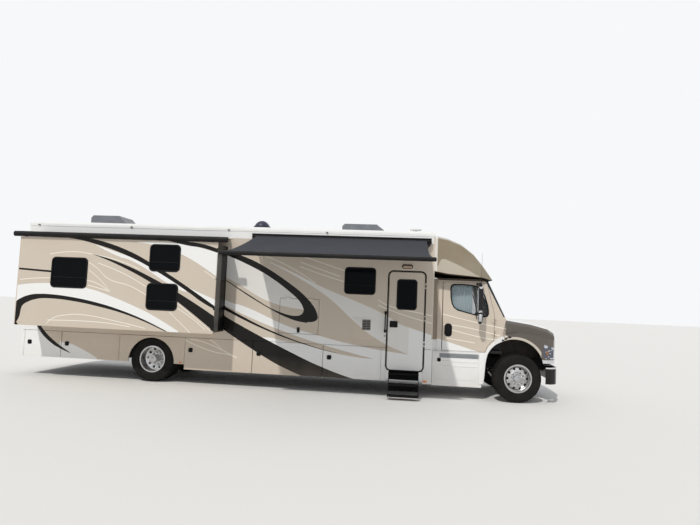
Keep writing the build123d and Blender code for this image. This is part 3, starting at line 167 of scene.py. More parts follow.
class Finish:
    def __init__(self, name, colour, roughness=0.5, metal=0.0, coat=0.0, coatRoughness=0.05, alpha=1.0,
                 shine=0.5):
        self.material = bpy.data.materials.new(name)
        self.material.use_nodes = True
        self.tree = self.material.node_tree
        self.skin = self.tree.nodes["Principled BSDF"]
        self.colour = (*colour, 1)  # then the output that holds the colour mixed so far
        sockets = {"Base Color": self.colour, "Roughness": roughness, "Metallic": metal, "Coat Weight": coat,
                   "Coat Roughness": coatRoughness, "IOR": 1.5, "Alpha": alpha, "Specular IOR Level": shine}
        for socket, value in sockets.items():
            self.feed(self.skin.inputs[socket], value)
        self.place = self.tree.nodes.new("ShaderNodeTexCoord").outputs["Object"]
        parts = self.node("ShaderNodeSeparateXYZ", {"Vector": self.place})
        self.along, self.across, self.level = (parts.outputs[axis] for axis in "XYZ")

    def feed(self, socket, value):  # a value, or another node's output
        if isinstance(value, bpy.types.NodeSocket):
            self.tree.links.new(value, socket)
        else:
            socket.default_value = value

    def node(self, kind, sockets, **options):
        made = self.tree.nodes.new(kind)
        for option, value in options.items():
            setattr(made, option, value)
        for socket, value in sockets.items():
            self.feed(made.inputs[socket], value)
        return made

    def math(self, operation, first, second=0.0):
        return self.node("ShaderNodeMath", {0: first, 1: second}, operation=operation).outputs[0]

    def above(self, value, limit):
        return self.math("GREATER_THAN", value, limit)

    def below(self, value, limit):
        return self.math("LESS_THAN", value, limit)

    def both(self, first, *others):  # 1 where all the masks are 1
        for mask in others:
            first = self.math("MULTIPLY", first, mask)
        return first

    def away(self, value, middle):  # distance from a value
        return self.math("ABSOLUTE", self.math("SUBTRACT", value, middle))

    def outward(self):  # distance from the vehicle's middle plane
        return self.away(self.across, centreLine)

    def squares(self, first, second):
        return self.math("ADD", self.math("MULTIPLY", first, first), self.math("MULTIPLY", second, second))

    def spread(self, value, low, high, start=0.0, end=1.0):
        sockets = {"Value": value, "From Min": low, "From Max": high, "To Min": start, "To Max": end}
        return self.node("ShaderNodeMapRange", sockets).outputs[0]

    def noise(self, scale, detail, stretch=(1, 1, 1)):
        place = self.node("ShaderNodeMapping", {"Vector": self.place, "Scale": stretch}).outputs[0]
        made = self.node("ShaderNodeTexNoise", {"Vector": place, "Scale": scale, "Detail": detail})
        return made.outputs["Fac"]

    def over(self, mask, colour):  # paints a colour over what is there, where the mask is 1
        mix = self.node("ShaderNodeMix", {0: mask, 6: self.colour, 7: (*colour, 1)}, data_type="RGBA")
        self.colour = mix.outputs[2]
        self.feed(self.skin.inputs["Base Color"], self.colour)

    def bump(self, height, strength, distance=0.001):
        made = self.node("ShaderNodeBump", {"Height": height, "Strength": strength, "Distance": distance})
        self.feed(self.skin.inputs["Normal"], made.outputs[0])

    def roughen(self, value, low, high):
        self.feed(self.skin.inputs["Roughness"], self.spread(value, 0.3, 0.7, low, high))


def paintedEdge(finish, points):  # height of a painted edge over the length
    low, high = points[0][0], points[-1][0]
    line = finish.node("ShaderNodeFloatCurve", {"Value": finish.spread(finish.along, low, high)})
    curve = line.mapping.curves[0]
    curve.points[0].location = (0, points[0][1] / paint["height"])
    curve.points[1].location = (1, points[-1][1] / paint["height"])
    for x, z in points[1:-1]:
        curve.points.new((x - low) / (high - low), z / paint["height"])
    line.mapping.update()
    return finish.math("MULTIPLY", line.outputs[0], paint["height"])


def bandMask(finish, start, end, upper, lower):  # each edge is a height, or points along it
    top, foot = (edge if isinstance(edge, float) else paintedEdge(finish, edge) for edge in (upper, lower))
    return finish.both(finish.below(finish.level, top), finish.above(finish.level, foot),
                       finish.above(finish.along, start), finish.below(finish.along, end))


def lineMask(finish, points):
    away = finish.away(finish.level, paintedEdge(finish, points))
    return finish.both(finish.below(away, paint["lineWidth"]), finish.above(finish.along, points[0][0]),
                       finish.below(finish.along, points[-1][0]))


# the painted graphics: points are x and z in metres

paint = {
    "height": 4.0,  # heights are shares of this in the curve nodes
    "taupe": (0.61, 0.53, 0.44),
    "white": (0.86, 0.86, 0.85),
    "pale": (0.80, 0.78, 0.75),
    "black": (0.006, 0.005, 0.0045),
    "cream": (0.86, 0.81, 0.72),
    "flake": (0.66, 0.60, 0.525),
    "dust": (0.42, 0.35, 0.27),
    "dustTop": 0.75,  # road dust starts here and is full at dustFull
    "dustFull": 0.3,
    "roofLine": 3.325,
    "lineWidth": 0.009,
    "roughness": 0.32,
    "coat": 0.1,
    "shine": 0.18,
    "peelScale": 160,  # faint ripple of the paint
}

paleBands = [  # each row: start, end, upper edge, lower edge
    (-1.24, 0.55,
     [(-1.24, 2.927), (-0.47, 2.602), (-0.24, 2.476), (0.23, 2.158), (0.47, 1.946), (0.55, 1.8)],
     [(-1.24, 2.43), (-0.96, 2.291), (-0.26, 1.938), (0.55, 1.78)]),
    (-0.26, 2.89,
     [(-0.26, 2.812), (0.21, 2.626), (0.9, 2.318), (2.41, 1.722), (2.69, 1.561), (2.89, 1.495)],
     [(-0.26, 2.801), (0.45, 2.456), (0.91, 2.196), (1.14, 2.04), (1.76, 1.519), (2.16, 1.234),
      (2.89, 0.915)]),
]
whiteBands = [
    (-3.98, -1.87, [(-3.98, 3.012), (-3.41, 2.837), (-3.18, 2.768), (-2.48, 2.435), (-1.87, 2.08)],
     [(-3.98, 3.006), (-3.41, 2.761), (-3.18, 2.703), (-2.01, 2.098), (-1.87, 2.061)]),
    (-2.11, -1.24, [(-2.11, 2.266), (-1.24, 1.926)], [(-2.11, 2.28), (-1.24, 1.789)]),
    (-5.74, -1.99,
     [(-5.74, 2.063), (-5.45, 2.107), (-4.98, 2.131), (-4.04, 2.04), (-3.57, 1.907), (-2.87, 1.656),
      (-2.64, 1.559), (-1.99, 1.216)],
     [(-5.74, 1.71), (-5.43, 1.861), (-5.2, 1.89), (-4.96, 1.891), (-4.49, 1.853), (-3.79, 1.736),
      (-3.32, 1.615), (-2.86, 1.464), (-2.26, 1.214), (-1.99, 1.19)]),
    (-3.05, -1.24, [(-3.05, 3.1), (-2.2, 3.1), (-1.63, 3.02), (-1.24, 2.919)],
     [(-3.05, 3.095), (-2.2, 2.93), (-1.24, 2.426)]),
    (-1.26, 2.89,
     [(-1.26, 1.93), (-1.03, 1.85), (-0.89, 1.823), (0.27, 1.385), (0.73, 1.27), (1.84, 1.039),
      (2.89, 0.911)],
     [(-1.26, 1.807), (0.05, 1.309), (1.85, 0.84), (2.16, 0.781), (2.89, 0.6)]),
    (-0.58, 2.16,
     [(-0.58, 1.191), (-0.44, 1.142), (-0.17, 1.129), (0.29, 1.045), (0.51, 1.034), (1.19, 0.882),
      (1.85, 0.793), (2.16, 0.781)],
     [(-0.58, 1.2), (0.53, 0.72), (0.98, 0.55), (1.65, 0.34), (2.16, 0.2)]),
    (2.15, 2.89, [(2.15, 0.99), (2.89, 0.913)], 0.0),
    (2.889, 3.6, [(2.889, 1.495), (3.6, 1.283)], 0.0),
    (-6.2, -5.092, [(-6.2, 1.25), (-5.74, 1.201), (-5.62, 1.021), (-5.35, 0.781), (-5.092, 0.644)], 0.0),
    (-5.11, -4.18, [(-5.11, 0.838), (-5.06, 0.795), (-4.86, 0.771), (-4.61, 0.68), (-4.18, 0.475)], 0.0),
]
blackBands = [
    (-4.6, -1.23,
     [(-4.6, 3.164), (-4.13, 3.145), (-3.9, 3.108), (-3.19, 2.888), (-2.74, 2.674), (-1.23, 1.789)],
     [(-4.6, 3.142), (-4.12, 3.057), (-3.18, 2.768), (-2.48, 2.435), (-1.78, 2.032), (-1.55, 1.882),
      (-1.23, 1.72)]),
    (-4.04, -1.23, [(-4.04, 2.806), (-3.4, 2.637), (-2.58, 2.302), (-2.0, 2.013), (-1.23, 1.575)],
     [(-4.04, 2.8), (-3.4, 2.57), (-2.57, 2.173), (-2.06, 1.85), (-1.23, 1.262)]),
    (-5.74, -2.26,
     [(-5.74, 1.71), (-5.66, 1.768), (-5.43, 1.861), (-5.2, 1.89), (-4.96, 1.891), (-4.49, 1.853),
      (-3.79, 1.736), (-3.32, 1.615), (-2.86, 1.464), (-2.26, 1.214)],
     [(-5.74, 1.2), (-5.64, 1.38), (-5.6, 1.6), (-5.42, 1.727), (-5.3, 1.765), (-5.19, 1.789),
      (-4.95, 1.799), (-4.48, 1.768), (-3.78, 1.66), (-3.09, 1.496), (-2.26, 1.193)]),
    (-5.74, -4.98, [(-5.74, 2.449), (-4.98, 2.413)], [(-5.74, 2.409), (-4.98, 2.369)]),
    (-2.35, -1.24, [(-2.35, 3.16), (-1.63, 3.11), (-1.24, 3.012)],
     [(-2.35, 3.147), (-1.85, 3.05), (-1.62, 3.024), (-1.24, 2.925)]),
    (-1.24, 0.885,
     [(-1.24, 3.029), (-0.72, 2.864), (-0.48, 2.759), (0.22, 2.347), (0.58, 2.077), (0.79, 1.849),
      (0.84, 1.763), (0.885, 1.633)],
     [(-1.24, 2.928), (-0.47, 2.602), (-0.24, 2.476), (0.23, 2.158), (0.47, 1.946), (0.54, 1.838),
      (0.56, 1.773), (0.6, 1.5), (0.67, 1.508), (0.8, 1.526), (0.87, 1.577), (0.885, 1.62)]),
    (-1.24, 0.6,
     [(-1.24, 2.372), (-0.67, 2.044), (-0.2, 1.79), (-0.09, 1.745), (0.26, 1.642), (0.37, 1.634),
      (0.48, 1.653), (0.54, 1.706), (0.565, 1.79), (0.6, 1.9)],
     [(-1.24, 2.35), (-0.2, 1.763), (0.26, 1.566), (0.49, 1.51), (0.6, 1.5)]),
    (-1.26, 1.34, [(-1.26, 1.785), (-0.88, 1.6), (-0.18, 1.298), (0.96, 0.947), (1.34, 0.869)],
     [(-1.26, 1.708), (-0.17, 1.254), (0.74, 0.986), (1.34, 0.862)]),
    (-1.29, 1.83,
     [(-1.29, 1.593), (-0.87, 1.377), (0.53, 0.74), (0.98, 0.561), (1.65, 0.349), (1.83, 0.312)],
     [(-1.29, 1.285), (-0.14, 0.628), (0.09, 0.52), (0.64, 0.311), (1.83, 0.0)]),
    (-5.74, -4.84, [(-5.74, 1.3), (-5.66, 1.205), (-5.55, 1.071), (-5.36, 0.895), (-4.84, 0.566)],
     [(-5.74, 1.201), (-5.62, 1.021), (-5.35, 0.781), (-5.09, 0.644), (-4.84, 0.554)]),
]
thinLines = [
    [(-5.04, 2.774), (-4.57, 2.842), (-4.34, 2.841), (-4.11, 2.811), (-3.4, 2.674), (-2.94, 2.505)],
    [(-5.7, 2.186), (-5.23, 2.237), (-4.1, 2.223), (-3.82, 2.136), (-3.65, 2.034)],
    [(-4.14, 2.627), (-3.92, 2.503), (-3.67, 2.294), (-3.14, 2.141), (-2.76, 1.961)],
    [(-4.1, 2.453), (-3.73, 2.161), (-3.58, 1.993)],
    [(-4.1, 2.125), (-3.58, 2.004)],
    [(-3.9, 2.613), (-3.38, 2.435), (-3.15, 2.335), (-2.77, 2.133)],
    [(-5.0, 1.238), (-4.93, 1.317), (-4.8, 1.399), (-4.57, 1.453), (-4.34, 1.478), (-4.11, 1.473),
     (-3.42, 1.374), (-2.73, 1.245)],
    [(-4.98, 1.326), (-3.99, 1.338), (-3.53, 1.316), (-3.07, 1.262)],
    [(-2.22, 1.62), (-1.73, 1.197)],
    [(-2.05, 1.712), (-1.75, 1.534), (-1.4, 1.275)],
    [(-1.5, 2.524), (-1.27, 2.382)],
    [(-2.06, 1.819), (-1.29, 1.259)],
    [(0.43, 2.835), (1.34, 2.544)],
    [(0.43, 2.735), (0.89, 2.584), (1.46, 2.427)],
    [(0.49, 2.96), (1.45, 2.67)],
    [(-0.38, 2.943), (-0.03, 2.82), (0.44, 2.59), (0.79, 2.38)],
    [(2.2, 2.061), (2.4, 1.96), (3.2, 1.8), (3.57, 1.74)],
    [(2.2, 1.952), (2.4, 1.873), (3.49, 1.576)],
    [(-2.12, 0.983), (-1.43, 0.75), (-1.06, 0.702), (-0.89, 0.644)],
    [(-2.0, 1.011), (-1.62, 0.94), (-1.25, 0.803), (-0.89, 0.644)],
    [(-1.54, 1.011), (-1.39, 0.929), (-1.25, 0.803)],
]
cabLines = [
    [(3.62, 1.814), (4.21, 1.687), (4.98, 1.549)],
    [(3.63, 1.584), (3.89, 1.574), (4.86, 1.392)],
    [(3.83, 1.473), (4.58, 1.325), (4.8, 1.303)],
    [(3.71, 1.293), (4.33, 1.215)],
]


def paintWork(name, colour=paint["taupe"]):  # gloss paint with a faint flake
    finish = Finish(name, colour, roughness=paint["roughness"], coat=paint["coat"], coatRoughness=0.06,
                    shine=paint["shine"])
    finish.over(finish.spread(finish.noise(1.3, 2.0), 0.25, 0.75, 0.0, 0.22), paint["flake"])
    return finish


def addPeel(finish, strength=0.08):
    finish.bump(finish.noise(paint["peelScale"], 2.0), strength, 0.0004)


def addDust(finish):  # road dust low down, and the paint's ripple
    low = finish.spread(finish.level, paint["dustTop"], paint["dustFull"], 0.0, 0.35)
    finish.over(finish.both(low, finish.noise(2.4, 6.0)), paint["dust"])
    addPeel(finish)
    finish.roughen(finish.noise(3.0, 3.0), 0.26, 0.38)


def houseGraphics(name, shade=None):  # shade paints what lies behind or beside the outer skin
    finish = paintWork(name)
    layers = ((paleBands, "pale"), (whiteBands, "white"), (thinLines, "cream"), (blackBands, "black"))
    for rows, colour in layers:
        for row in rows:
            mask = lineMask(finish, row) if rows is thinLines else bandMask(finish, *row)
            finish.over(mask, paint[colour])
    finish.over(finish.above(finish.level, paint["roofLine"]), paint["white"])
    addDust(finish)
    if shade:
        shade(finish)
    return finish.material


def shadeInside(finish, skin=1.238, colour=(0.020, 0.019, 0.018)):
    finish.over(finish.below(finish.outward(), skin), colour)


slideEnds = {
    "middle": -3.495,
    "half": 2.2365,  # from the middle to an end wall
    "skin": 1.952,
    "shadedWithin": 1.62,
    "shadedAbove": 2.985,
    # dark grey: a painted reflection on the end walls' black gloss
    "colour": (0.15, 0.145, 0.14),
    # black: the end walls' own black, also painted shade by the house wall and under the topper
    "dark": (0.006, 0.006, 0.006),
}


def shadeSlideEnds(finish):  # black gloss end walls: the dark grey over the outer part is a painted reflection; the black by the house wall and under the topper also stands for painted shade there
    outward = finish.outward()
    atEnds = finish.above(finish.away(finish.along, slideEnds["middle"]), slideEnds["half"])
    ends = finish.both(atEnds, finish.below(outward, slideEnds["skin"]))
    finish.over(ends, slideEnds["colour"])
    near = finish.below(outward, slideEnds["shadedWithin"])
    high = finish.above(finish.level, slideEnds["shadedAbove"])
    finish.over(finish.both(ends, finish.math("MAXIMUM", near, high)), slideEnds["dark"])


frontCorner = {
    "front": 3.372,
    "inner": 1.15,  # between the step and the post
    "low": 1.25,
    "post": (0.66, 0.59, 0.50),
    # darker tan: painted shade in the recessed step beside the cab
    "step": (0.36, 0.30, 0.23),
}


def shadeFrontCorner(finish):  # beige corner post; the darker tan in the step beside the cab is painted shade in that recess
    outward = finish.outward()
    front = finish.above(finish.along, frontCorner["front"])
    high = finish.above(finish.level, frontCorner["low"])
    finish.over(finish.both(front, finish.above(outward, frontCorner["inner"]), high), frontCorner["post"])
    finish.over(finish.both(front, finish.below(outward, frontCorner["inner"]), high), frontCorner["step"])


arch = {"x": 5.150, "z": 0.740, "radius": 0.66, "skin": 1.046, "colour": (0.016, 0.015, 0.015)}


def shadeArch(finish):  # black inside the front wheel arch; gives the distance from the arch's middle
    fromX = finish.math("SUBTRACT", finish.along, arch["x"])
    fromZ = finish.math("SUBTRACT", finish.level, arch["z"])
    reach = finish.math("SQRT", finish.squares(fromX, fromZ))
    inside = finish.both(finish.below(reach, arch["radius"]), finish.below(finish.outward(), arch["skin"]))
    finish.over(inside, arch["colour"])
    return reach


cab = {
    "whiteBands": [
        (3.4, 4.44, [(3.4, 1.31), (4.44, 1.016)], 0.0),
        (4.43, 4.9, [(4.43, 1.02), (4.9, 0.87)], 0.0)],
    "screenFoot": (4.935, 1.785),  # x and z of the windscreen's dark rim
    "screenTop": (4.555, 2.54),
    "screenFrom": 1.80,
    "screen": (0.020, 0.026, 0.034),
    # darker tan on the cab roof's side: painted shade under the cap
    "capShadeFrom": 2.66,
    "roof": (0.32, 0.27, 0.20),
    "mirrorsFrom": 1.075,
    "mirrors": (0.014, 0.014, 0.015),
}


def cabGraphics():
    finish = paintWork("cabPaint")
    for band in cab["whiteBands"]:
        finish.over(bandMask(finish, *band), paint["white"])
    for points in cabLines:
        finish.over(lineMask(finish, points), paint["cream"])
    (footX, footZ), (topX, topZ) = cab["screenFoot"], cab["screenTop"]
    slope = (footX - topX) / (footZ - topZ)
    lean = finish.math("MULTIPLY", finish.math("SUBTRACT", finish.level, topZ), slope)
    ahead = finish.above(finish.math("SUBTRACT", finish.along, lean), topX)
    finish.over(finish.both(ahead, finish.above(finish.level, cab["screenFrom"])), cab["screen"])
    # painted shade on the cab roof under the cap
    finish.over(finish.above(finish.level, cab["capShadeFrom"]), cab["roof"])
    addDust(finish)
    shadeArch(finish)
    finish.over(finish.above(finish.outward(), cab["mirrorsFrom"]), cab["mirrors"])
    return finish.material


cap = {
    # the upper panel's tan, darkened as painted shade
    "colour": (0.235, 0.19, 0.12),
    "crease": [
        (3.38, 2.80), (3.476, 2.86), (3.527, 2.976), (3.59, 3.004), (3.743, 2.957), (4.404, 2.648),
        (4.7, 2.50)],
    "pale": (0.52, 0.465, 0.385),
    # pale rim: a painted highlight along the cap's rear corner
    "litEdgeTo": 3.455,
    "rim": (0.74, 0.70, 0.65),
    # painted shade on the down-facing underside
    "underside": (0.13, 0.105, 0.08),
}


def capPaint():  # upper panel's tan darkened as painted shade, pale panel below the crease, pale rim as a painted highlight, matt underside with painted shade
    finish = paintWork("capPaint", cap["colour"])
    start, end = cap["crease"][0][0], cap["crease"][-1][0]
    finish.over(bandMask(finish, start, end, cap["crease"], 0.0), cap["pale"])
    finish.over(finish.below(finish.along, cap["litEdgeTo"]), cap["rim"])
    facing = finish.node("ShaderNodeNewGeometry", {}).outputs["Normal"]
    facingDownShade = finish.below(finish.node("ShaderNodeSeparateXYZ", {"Vector": facing}).outputs["Z"], -0.15)
    # painted shade where the cap faces down
    finish.over(facingDownShade, cap["underside"])
    for socket, amount in (("Specular IOR Level", paint["shine"]), ("Coat Weight", paint["coat"])):
        lessened = finish.math("SUBTRACT", amount, finish.math("MULTIPLY", facingDownShade, amount))
        finish.feed(finish.skin.inputs[socket], lessened)
    addDust(finish)
    return finish.material


louvreShade = {
    "band": (3.57, 4.41, [(3.57, 0.968), (4.41, 0.972)], [(3.57, 0.868), (4.41, 0.872)]),
    "slats": 300,
    # grey band and darker slats: painted shade in the recessed louvre
    "colour": (0.50, 0.52, 0.53),
    "dark": (0.24, 0.26, 0.28),
}


def ribMask(finish, spacing, limit):  # level stripes
    return finish.above(finish.math("SINE", finish.math("MULTIPLY", finish.level, spacing)), limit)


def sideBoxPaint():  # white, with painted shade along the top of the box: a grey band with darker slat stripes where the recessed louvre lies
    finish = paintWork("sideBoxPaint", paint["white"])
    mask = bandMask(finish, *louvreShade["band"])
    finish.over(mask, louvreShade["colour"])
    finish.over(finish.both(mask, ribMask(finish, louvreShade["slats"], -0.2)), louvreShade["dark"])
    addDust(finish)
    return finish.material


lampPaint = {
    "red": (0.52, 0.015, 0.012),
    "amber": (0.85, 0.24, 0.015),
    "tailTo": -6.0,  # x where the red lamps end
    "ribs": 700,
    "rib": (0.20, 0.02, 0.01),
}


def lampRow():  # tail lamps red, side markers amber, by where each one sits
    finish = Finish("vehicleLamps", lampPaint["red"], roughness=0.14, coat=1.0)
    finish.over(finish.above(finish.along, lampPaint["tailTo"]), lampPaint["amber"])
    finish.over(finish.both(ribMask(finish, lampPaint["ribs"], 0.4), 0.25), lampPaint["rib"])
    return finish.material


headlamp = {
    "reflector": (0.60, 0.63, 0.70),
    "dark": (0.09, 0.095, 0.13),
    "amber": (0.30, 0.13, 0.03),
    "amberAt": (5.826, 1.085),  # x and z
    "amberHalf": (0.030, 0.050),
}


def headlampGlass():  # bright reflector behind the lens, with an amber corner
    finish = Finish("headlampGlass", headlamp["reflector"], roughness=0.07, metal=0.85, coat=1.0,
                    coatRoughness=0.02)
    facets = finish.noise(9, 0.0, stretch=(1, 1, 2.2))
    finish.over(finish.spread(facets, 0.41, 0.46), headlamp["dark"])
    places = zip((finish.along, finish.level), headlamp["amberAt"], headlamp["amberHalf"])
    shares = [finish.math("DIVIDE", finish.math("SUBTRACT", value, at), half) for value, at, half in places]
    finish.over(finish.spread(finish.squares(*shares), 1.1, 0.8), headlamp["amber"])
    finish.bump(facets, 0.35, 0.01)
    return finish.material


bumper = {
    "colour": (0.014, 0.013, 0.013),
    "worn": (0.03, 0.028, 0.026),
    "strip": (5.0, 6.2, 0.779, 0.752),
    "bright": (0.80, 0.80, 0.81),
}


def bumperPaint():  # black, with a bright strip along its upper edge
    finish = Finish("bumperPaint", bumper["colour"], roughness=0.28, shine=0.2)
    finish.over(finish.spread(finish.noise(4, 6.0), 0.35, 0.8, 0.0, 0.3), bumper["worn"])
    strip = bandMask(finish, *bumper["strip"])
    finish.over(strip, bumper["bright"])
    finish.feed(finish.skin.inputs["Metallic"], strip)
    addPeel(finish, 0.06)
    return finish.material


roofPieces = {
    "grey": (0.15, 0.16, 0.18),
    "pale": (0.23, 0.24, 0.26),
    "domeX": -0.775,
    "domeHalf": 0.30,
    "dome": (0.016, 0.018, 0.045),
    "antennaFrom": 2.7,
    "antenna": (0.78, 0.78, 0.77),
}


def roofKit():  # grey shrouds and vents, a dark blue dome, a white antenna
    finish = Finish("roofKit", roofPieces["grey"])
    finish.over(finish.spread(finish.noise(6, 5.0), 0.35, 0.75, 0.0, 0.5), roofPieces["pale"])
    nearDome = finish.below(finish.away(finish.along, roofPieces["domeX"]), roofPieces["domeHalf"])
    finish.over(nearDome, roofPieces["dome"])
    finish.over(finish.above(finish.along, roofPieces["antennaFrom"]), roofPieces["antenna"])
    finish.roughen(finish.noise(12, 3.0), 0.3, 0.55)
    finish.bump(finish.noise(150, 3.0), 0.2)
    return finish.material


hood = {
    "bronze": (0.082, 0.068, 0.056),
    "flake": (0.22, 0.185, 0.15),
    "beigeTo": (4.955, 5.00),
    "linesTo": 4.99,
    "lipRadius": 0.652,
    "lipFrom": 1.05,  # distance from the middle plane
    "lipTo": 5.70,
    "lip": (0.60, 0.54, 0.46),
    "silverBand": (5.6, 6.2, 0.931, 0.70),
    "silverFrom": 0.45,
    "silver": (0.66, 0.67, 0.69),
}


def hoodPaint():  # beige by the cab, dark bronze ahead, with a pale arch lip and silver under the lamps
    finish = Finish("hoodPaint", hood["bronze"], roughness=0.26, metal=0.6, coat=1.0, coatRoughness=0.03)
    finish.over(finish.spread(finish.noise(900, 2.0), 0.45, 0.6, 0.0, 0.4), hood["flake"])
    finish.over(finish.spread(finish.along, hood["beigeTo"][1], hood["beigeTo"][0]), paint["taupe"])
    for points in cabLines[:3]:
        finish.over(lineMask(finish, [*points[:-1], (hood["linesTo"], points[-1][1])]), paint["cream"])
    reach = shadeArch(finish)
    outward = finish.outward()
    lip = finish.both(finish.below(reach, hood["lipRadius"]), finish.above(outward, hood["lipFrom"]),
                      finish.below(finish.along, hood["lipTo"]))
    finish.over(lip, hood["lip"])
    silver = finish.both(bandMask(finish, *hood["silverBand"]), finish.above(outward, hood["silverFrom"]))
    finish.over(silver, hood["silver"])
    addPeel(finish)
    return finish.material


def plainFinish(name, colour, roughness, metal=0.0, coat=0.0, other=None, scale=8.0, share=0.4, bumpScale=120,
                bump=0.1, shine=0.5):  # other is the colour of the wear, and on the chrome and alloy it is painted dark reflection; share how much of it shows
    finish = Finish(name, colour, roughness=roughness, metal=metal, coat=coat, shine=shine)
    other = other or tuple(min(1.0, part * 1.35 + 0.01) for part in colour)
    finish.over(finish.spread(finish.noise(scale, 6.0), 0.35, 0.75, 0.0, share), other)
    finish.roughen(finish.noise(scale * 2, 3.0), max(0.02, roughness - 0.08), min(1.0, roughness + 0.12))
    finish.bump(finish.noise(bumpScale, 3.0), bump)
    return finish.material


def glassFinish(name, colour, alpha, coat=0.0, shine=0.5):
    finish = Finish(name, colour, roughness=0.03, coat=coat, coatRoughness=0.01, alpha=alpha, shine=shine)
    cloudy = finish.spread(finish.noise(3.0, 2.0), 0.3, 0.8, 0.0, 0.3)
    finish.over(cloudy, tuple(part * 1.6 for part in colour))
    return finish.material


def wovenFinish(name, colour, other, threads):
    finish = Finish(name, colour, roughness=0.85, shine=0.2)
    finish.feed(finish.skin.inputs["Sheen Weight"], 0.06)
    finish.feed(finish.skin.inputs["Sheen Roughness"], 0.5)
    sockets = {"Vector": finish.place, "Scale": threads}
    waves = (finish.node("ShaderNodeTexWave", sockets, bands_direction=way) for way in ("X", "Y"))
    weave = finish.both(*(wave.outputs["Fac"] for wave in waves))
    finish.over(finish.spread(weave, 0.0, 1.0, 0.0, 0.5), other)
    faded = finish.spread(finish.noise(1.2, 4.0), 0.35, 0.7, 0.0, 0.3)
    finish.over(faded, tuple(part * 0.7 for part in colour))
    finish.bump(weave, 0.25, 0.0008)
    return finish.material


finishes = {
    "house": houseGraphics("housePaint"),
    "lowerHouse": houseGraphics("lowerHousePaint", shadeInside),
    "slide": houseGraphics("slidePaint", shadeSlideEnds),
    "frontWall": houseGraphics("frontWallPaint", shadeFrontCorner),
    "sideBox": sideBoxPaint(),
    "lamps": lampRow(),
    "roofKit": roofKit(),
    "cab": cabGraphics(),
    "cap": capPaint(),
    "hood": hoodPaint(),
    "headlamp": headlampGlass(),
    "bumper": bumperPaint(),
    "darkGlass": glassFinish("darkGlass", (0.004, 0.005, 0.006), 1.0, shine=0.04),
    "cabGlass": glassFinish("cabGlass", (0.05, 0.07, 0.08), 0.20, coat=0.2, shine=0.4),
    "fabric": wovenFinish("awningCloth", (0.018, 0.021, 0.030), (0.030, 0.034, 0.046), 45),
    "seatCloth": wovenFinish("seatCloth", (0.16, 0.135, 0.11), (0.24, 0.21, 0.18), 80),
    "white": plainFinish("whitePaint", paint["white"], 0.34, coat=0.5, other=(0.78, 0.77, 0.75), scale=1.5,
                         share=0.3),
    "roof": plainFinish("roofSkin", (0.84, 0.84, 0.83), 0.6, other=(0.70, 0.69, 0.66), scale=1.2,
                        bumpScale=40),
    "rubber": plainFinish("tyreRubber", (0.010, 0.010, 0.010), 0.75, other=(0.028, 0.025, 0.022), scale=5,
                          share=0.5, bumpScale=90, bump=0.25, shine=0.12),
    # chrome: its dark patches are painted reflection
    "chrome": plainFinish("chromePlate", (0.66, 0.67, 0.70), 0.10, metal=1.0, other=(0.20, 0.18, 0.17),
                          scale=5, share=0.7, bump=0.02),
    # alloy: its darker patches are painted reflection
    "alloy": plainFinish("polishedAlloy", (0.58, 0.58, 0.59), 0.29, metal=1.0, other=(0.34, 0.32, 0.29),
                         scale=9, share=0.6, bump=0.04),
    "frameBlack": plainFinish("chassisBlack", (0.012, 0.012, 0.013), 0.5, other=(0.045, 0.035, 0.03),
                              scale=4, share=0.3, shine=0.12),
    "castIron": plainFinish("castIron", (0.055, 0.052, 0.05), 0.62, metal=0.4, other=(0.14, 0.10, 0.075),
                            scale=7, share=0.5, bumpScale=70, bump=0.3),
    "steel": plainFinish("bareSteel", (0.33, 0.33, 0.33), 0.38, metal=0.9, other=(0.22, 0.19, 0.16),
                         scale=9),
    "tank": plainFinish("tankPlastic", (0.045, 0.045, 0.048), 0.6, scale=5, bumpScale=200, bump=0.2),
    "trimBlack": plainFinish("blackTrim", (0.008, 0.008, 0.009), 0.42, scale=10, share=0.3, bumpScale=300,
                             bump=0.15, shine=0.12),
    "step": plainFinish("stepBlack", (0.009, 0.009, 0.010), 0.7, other=(0.03, 0.028, 0.026), scale=12,
                        bumpScale=60, bump=0.5, shine=0.06),
    "shroud": plainFinish("shroudGrey", (0.30, 0.31, 0.33), 0.55, scale=6, bumpScale=150, bump=0.2),
    "cabTrim": plainFinish("cabTrim", (0.20, 0.18, 0.155), 0.7, scale=10, bumpScale=260, bump=0.35),
    "lampLens": plainFinish("lampLens", (0.30, 0.24, 0.17), 0.18, coat=1.0, other=(0.75, 0.70, 0.60),
                            scale=14, share=0.6, bumpScale=60, bump=0.02),
    "greyPlastic": plainFinish("greyPlastic", (0.20, 0.19, 0.18), 0.5, scale=20, bumpScale=300, bump=0.15),
    "mirrorGlass": plainFinish("mirrorGlass", (0.55, 0.58, 0.62), 0.03, metal=1.0, scale=3, share=0.2,
                               bump=0.005),
    "curtain": plainFinish("curtainCloth", (0.70, 0.84, 0.90), 0.9, scale=5, bumpScale=400, bump=0.3),
}

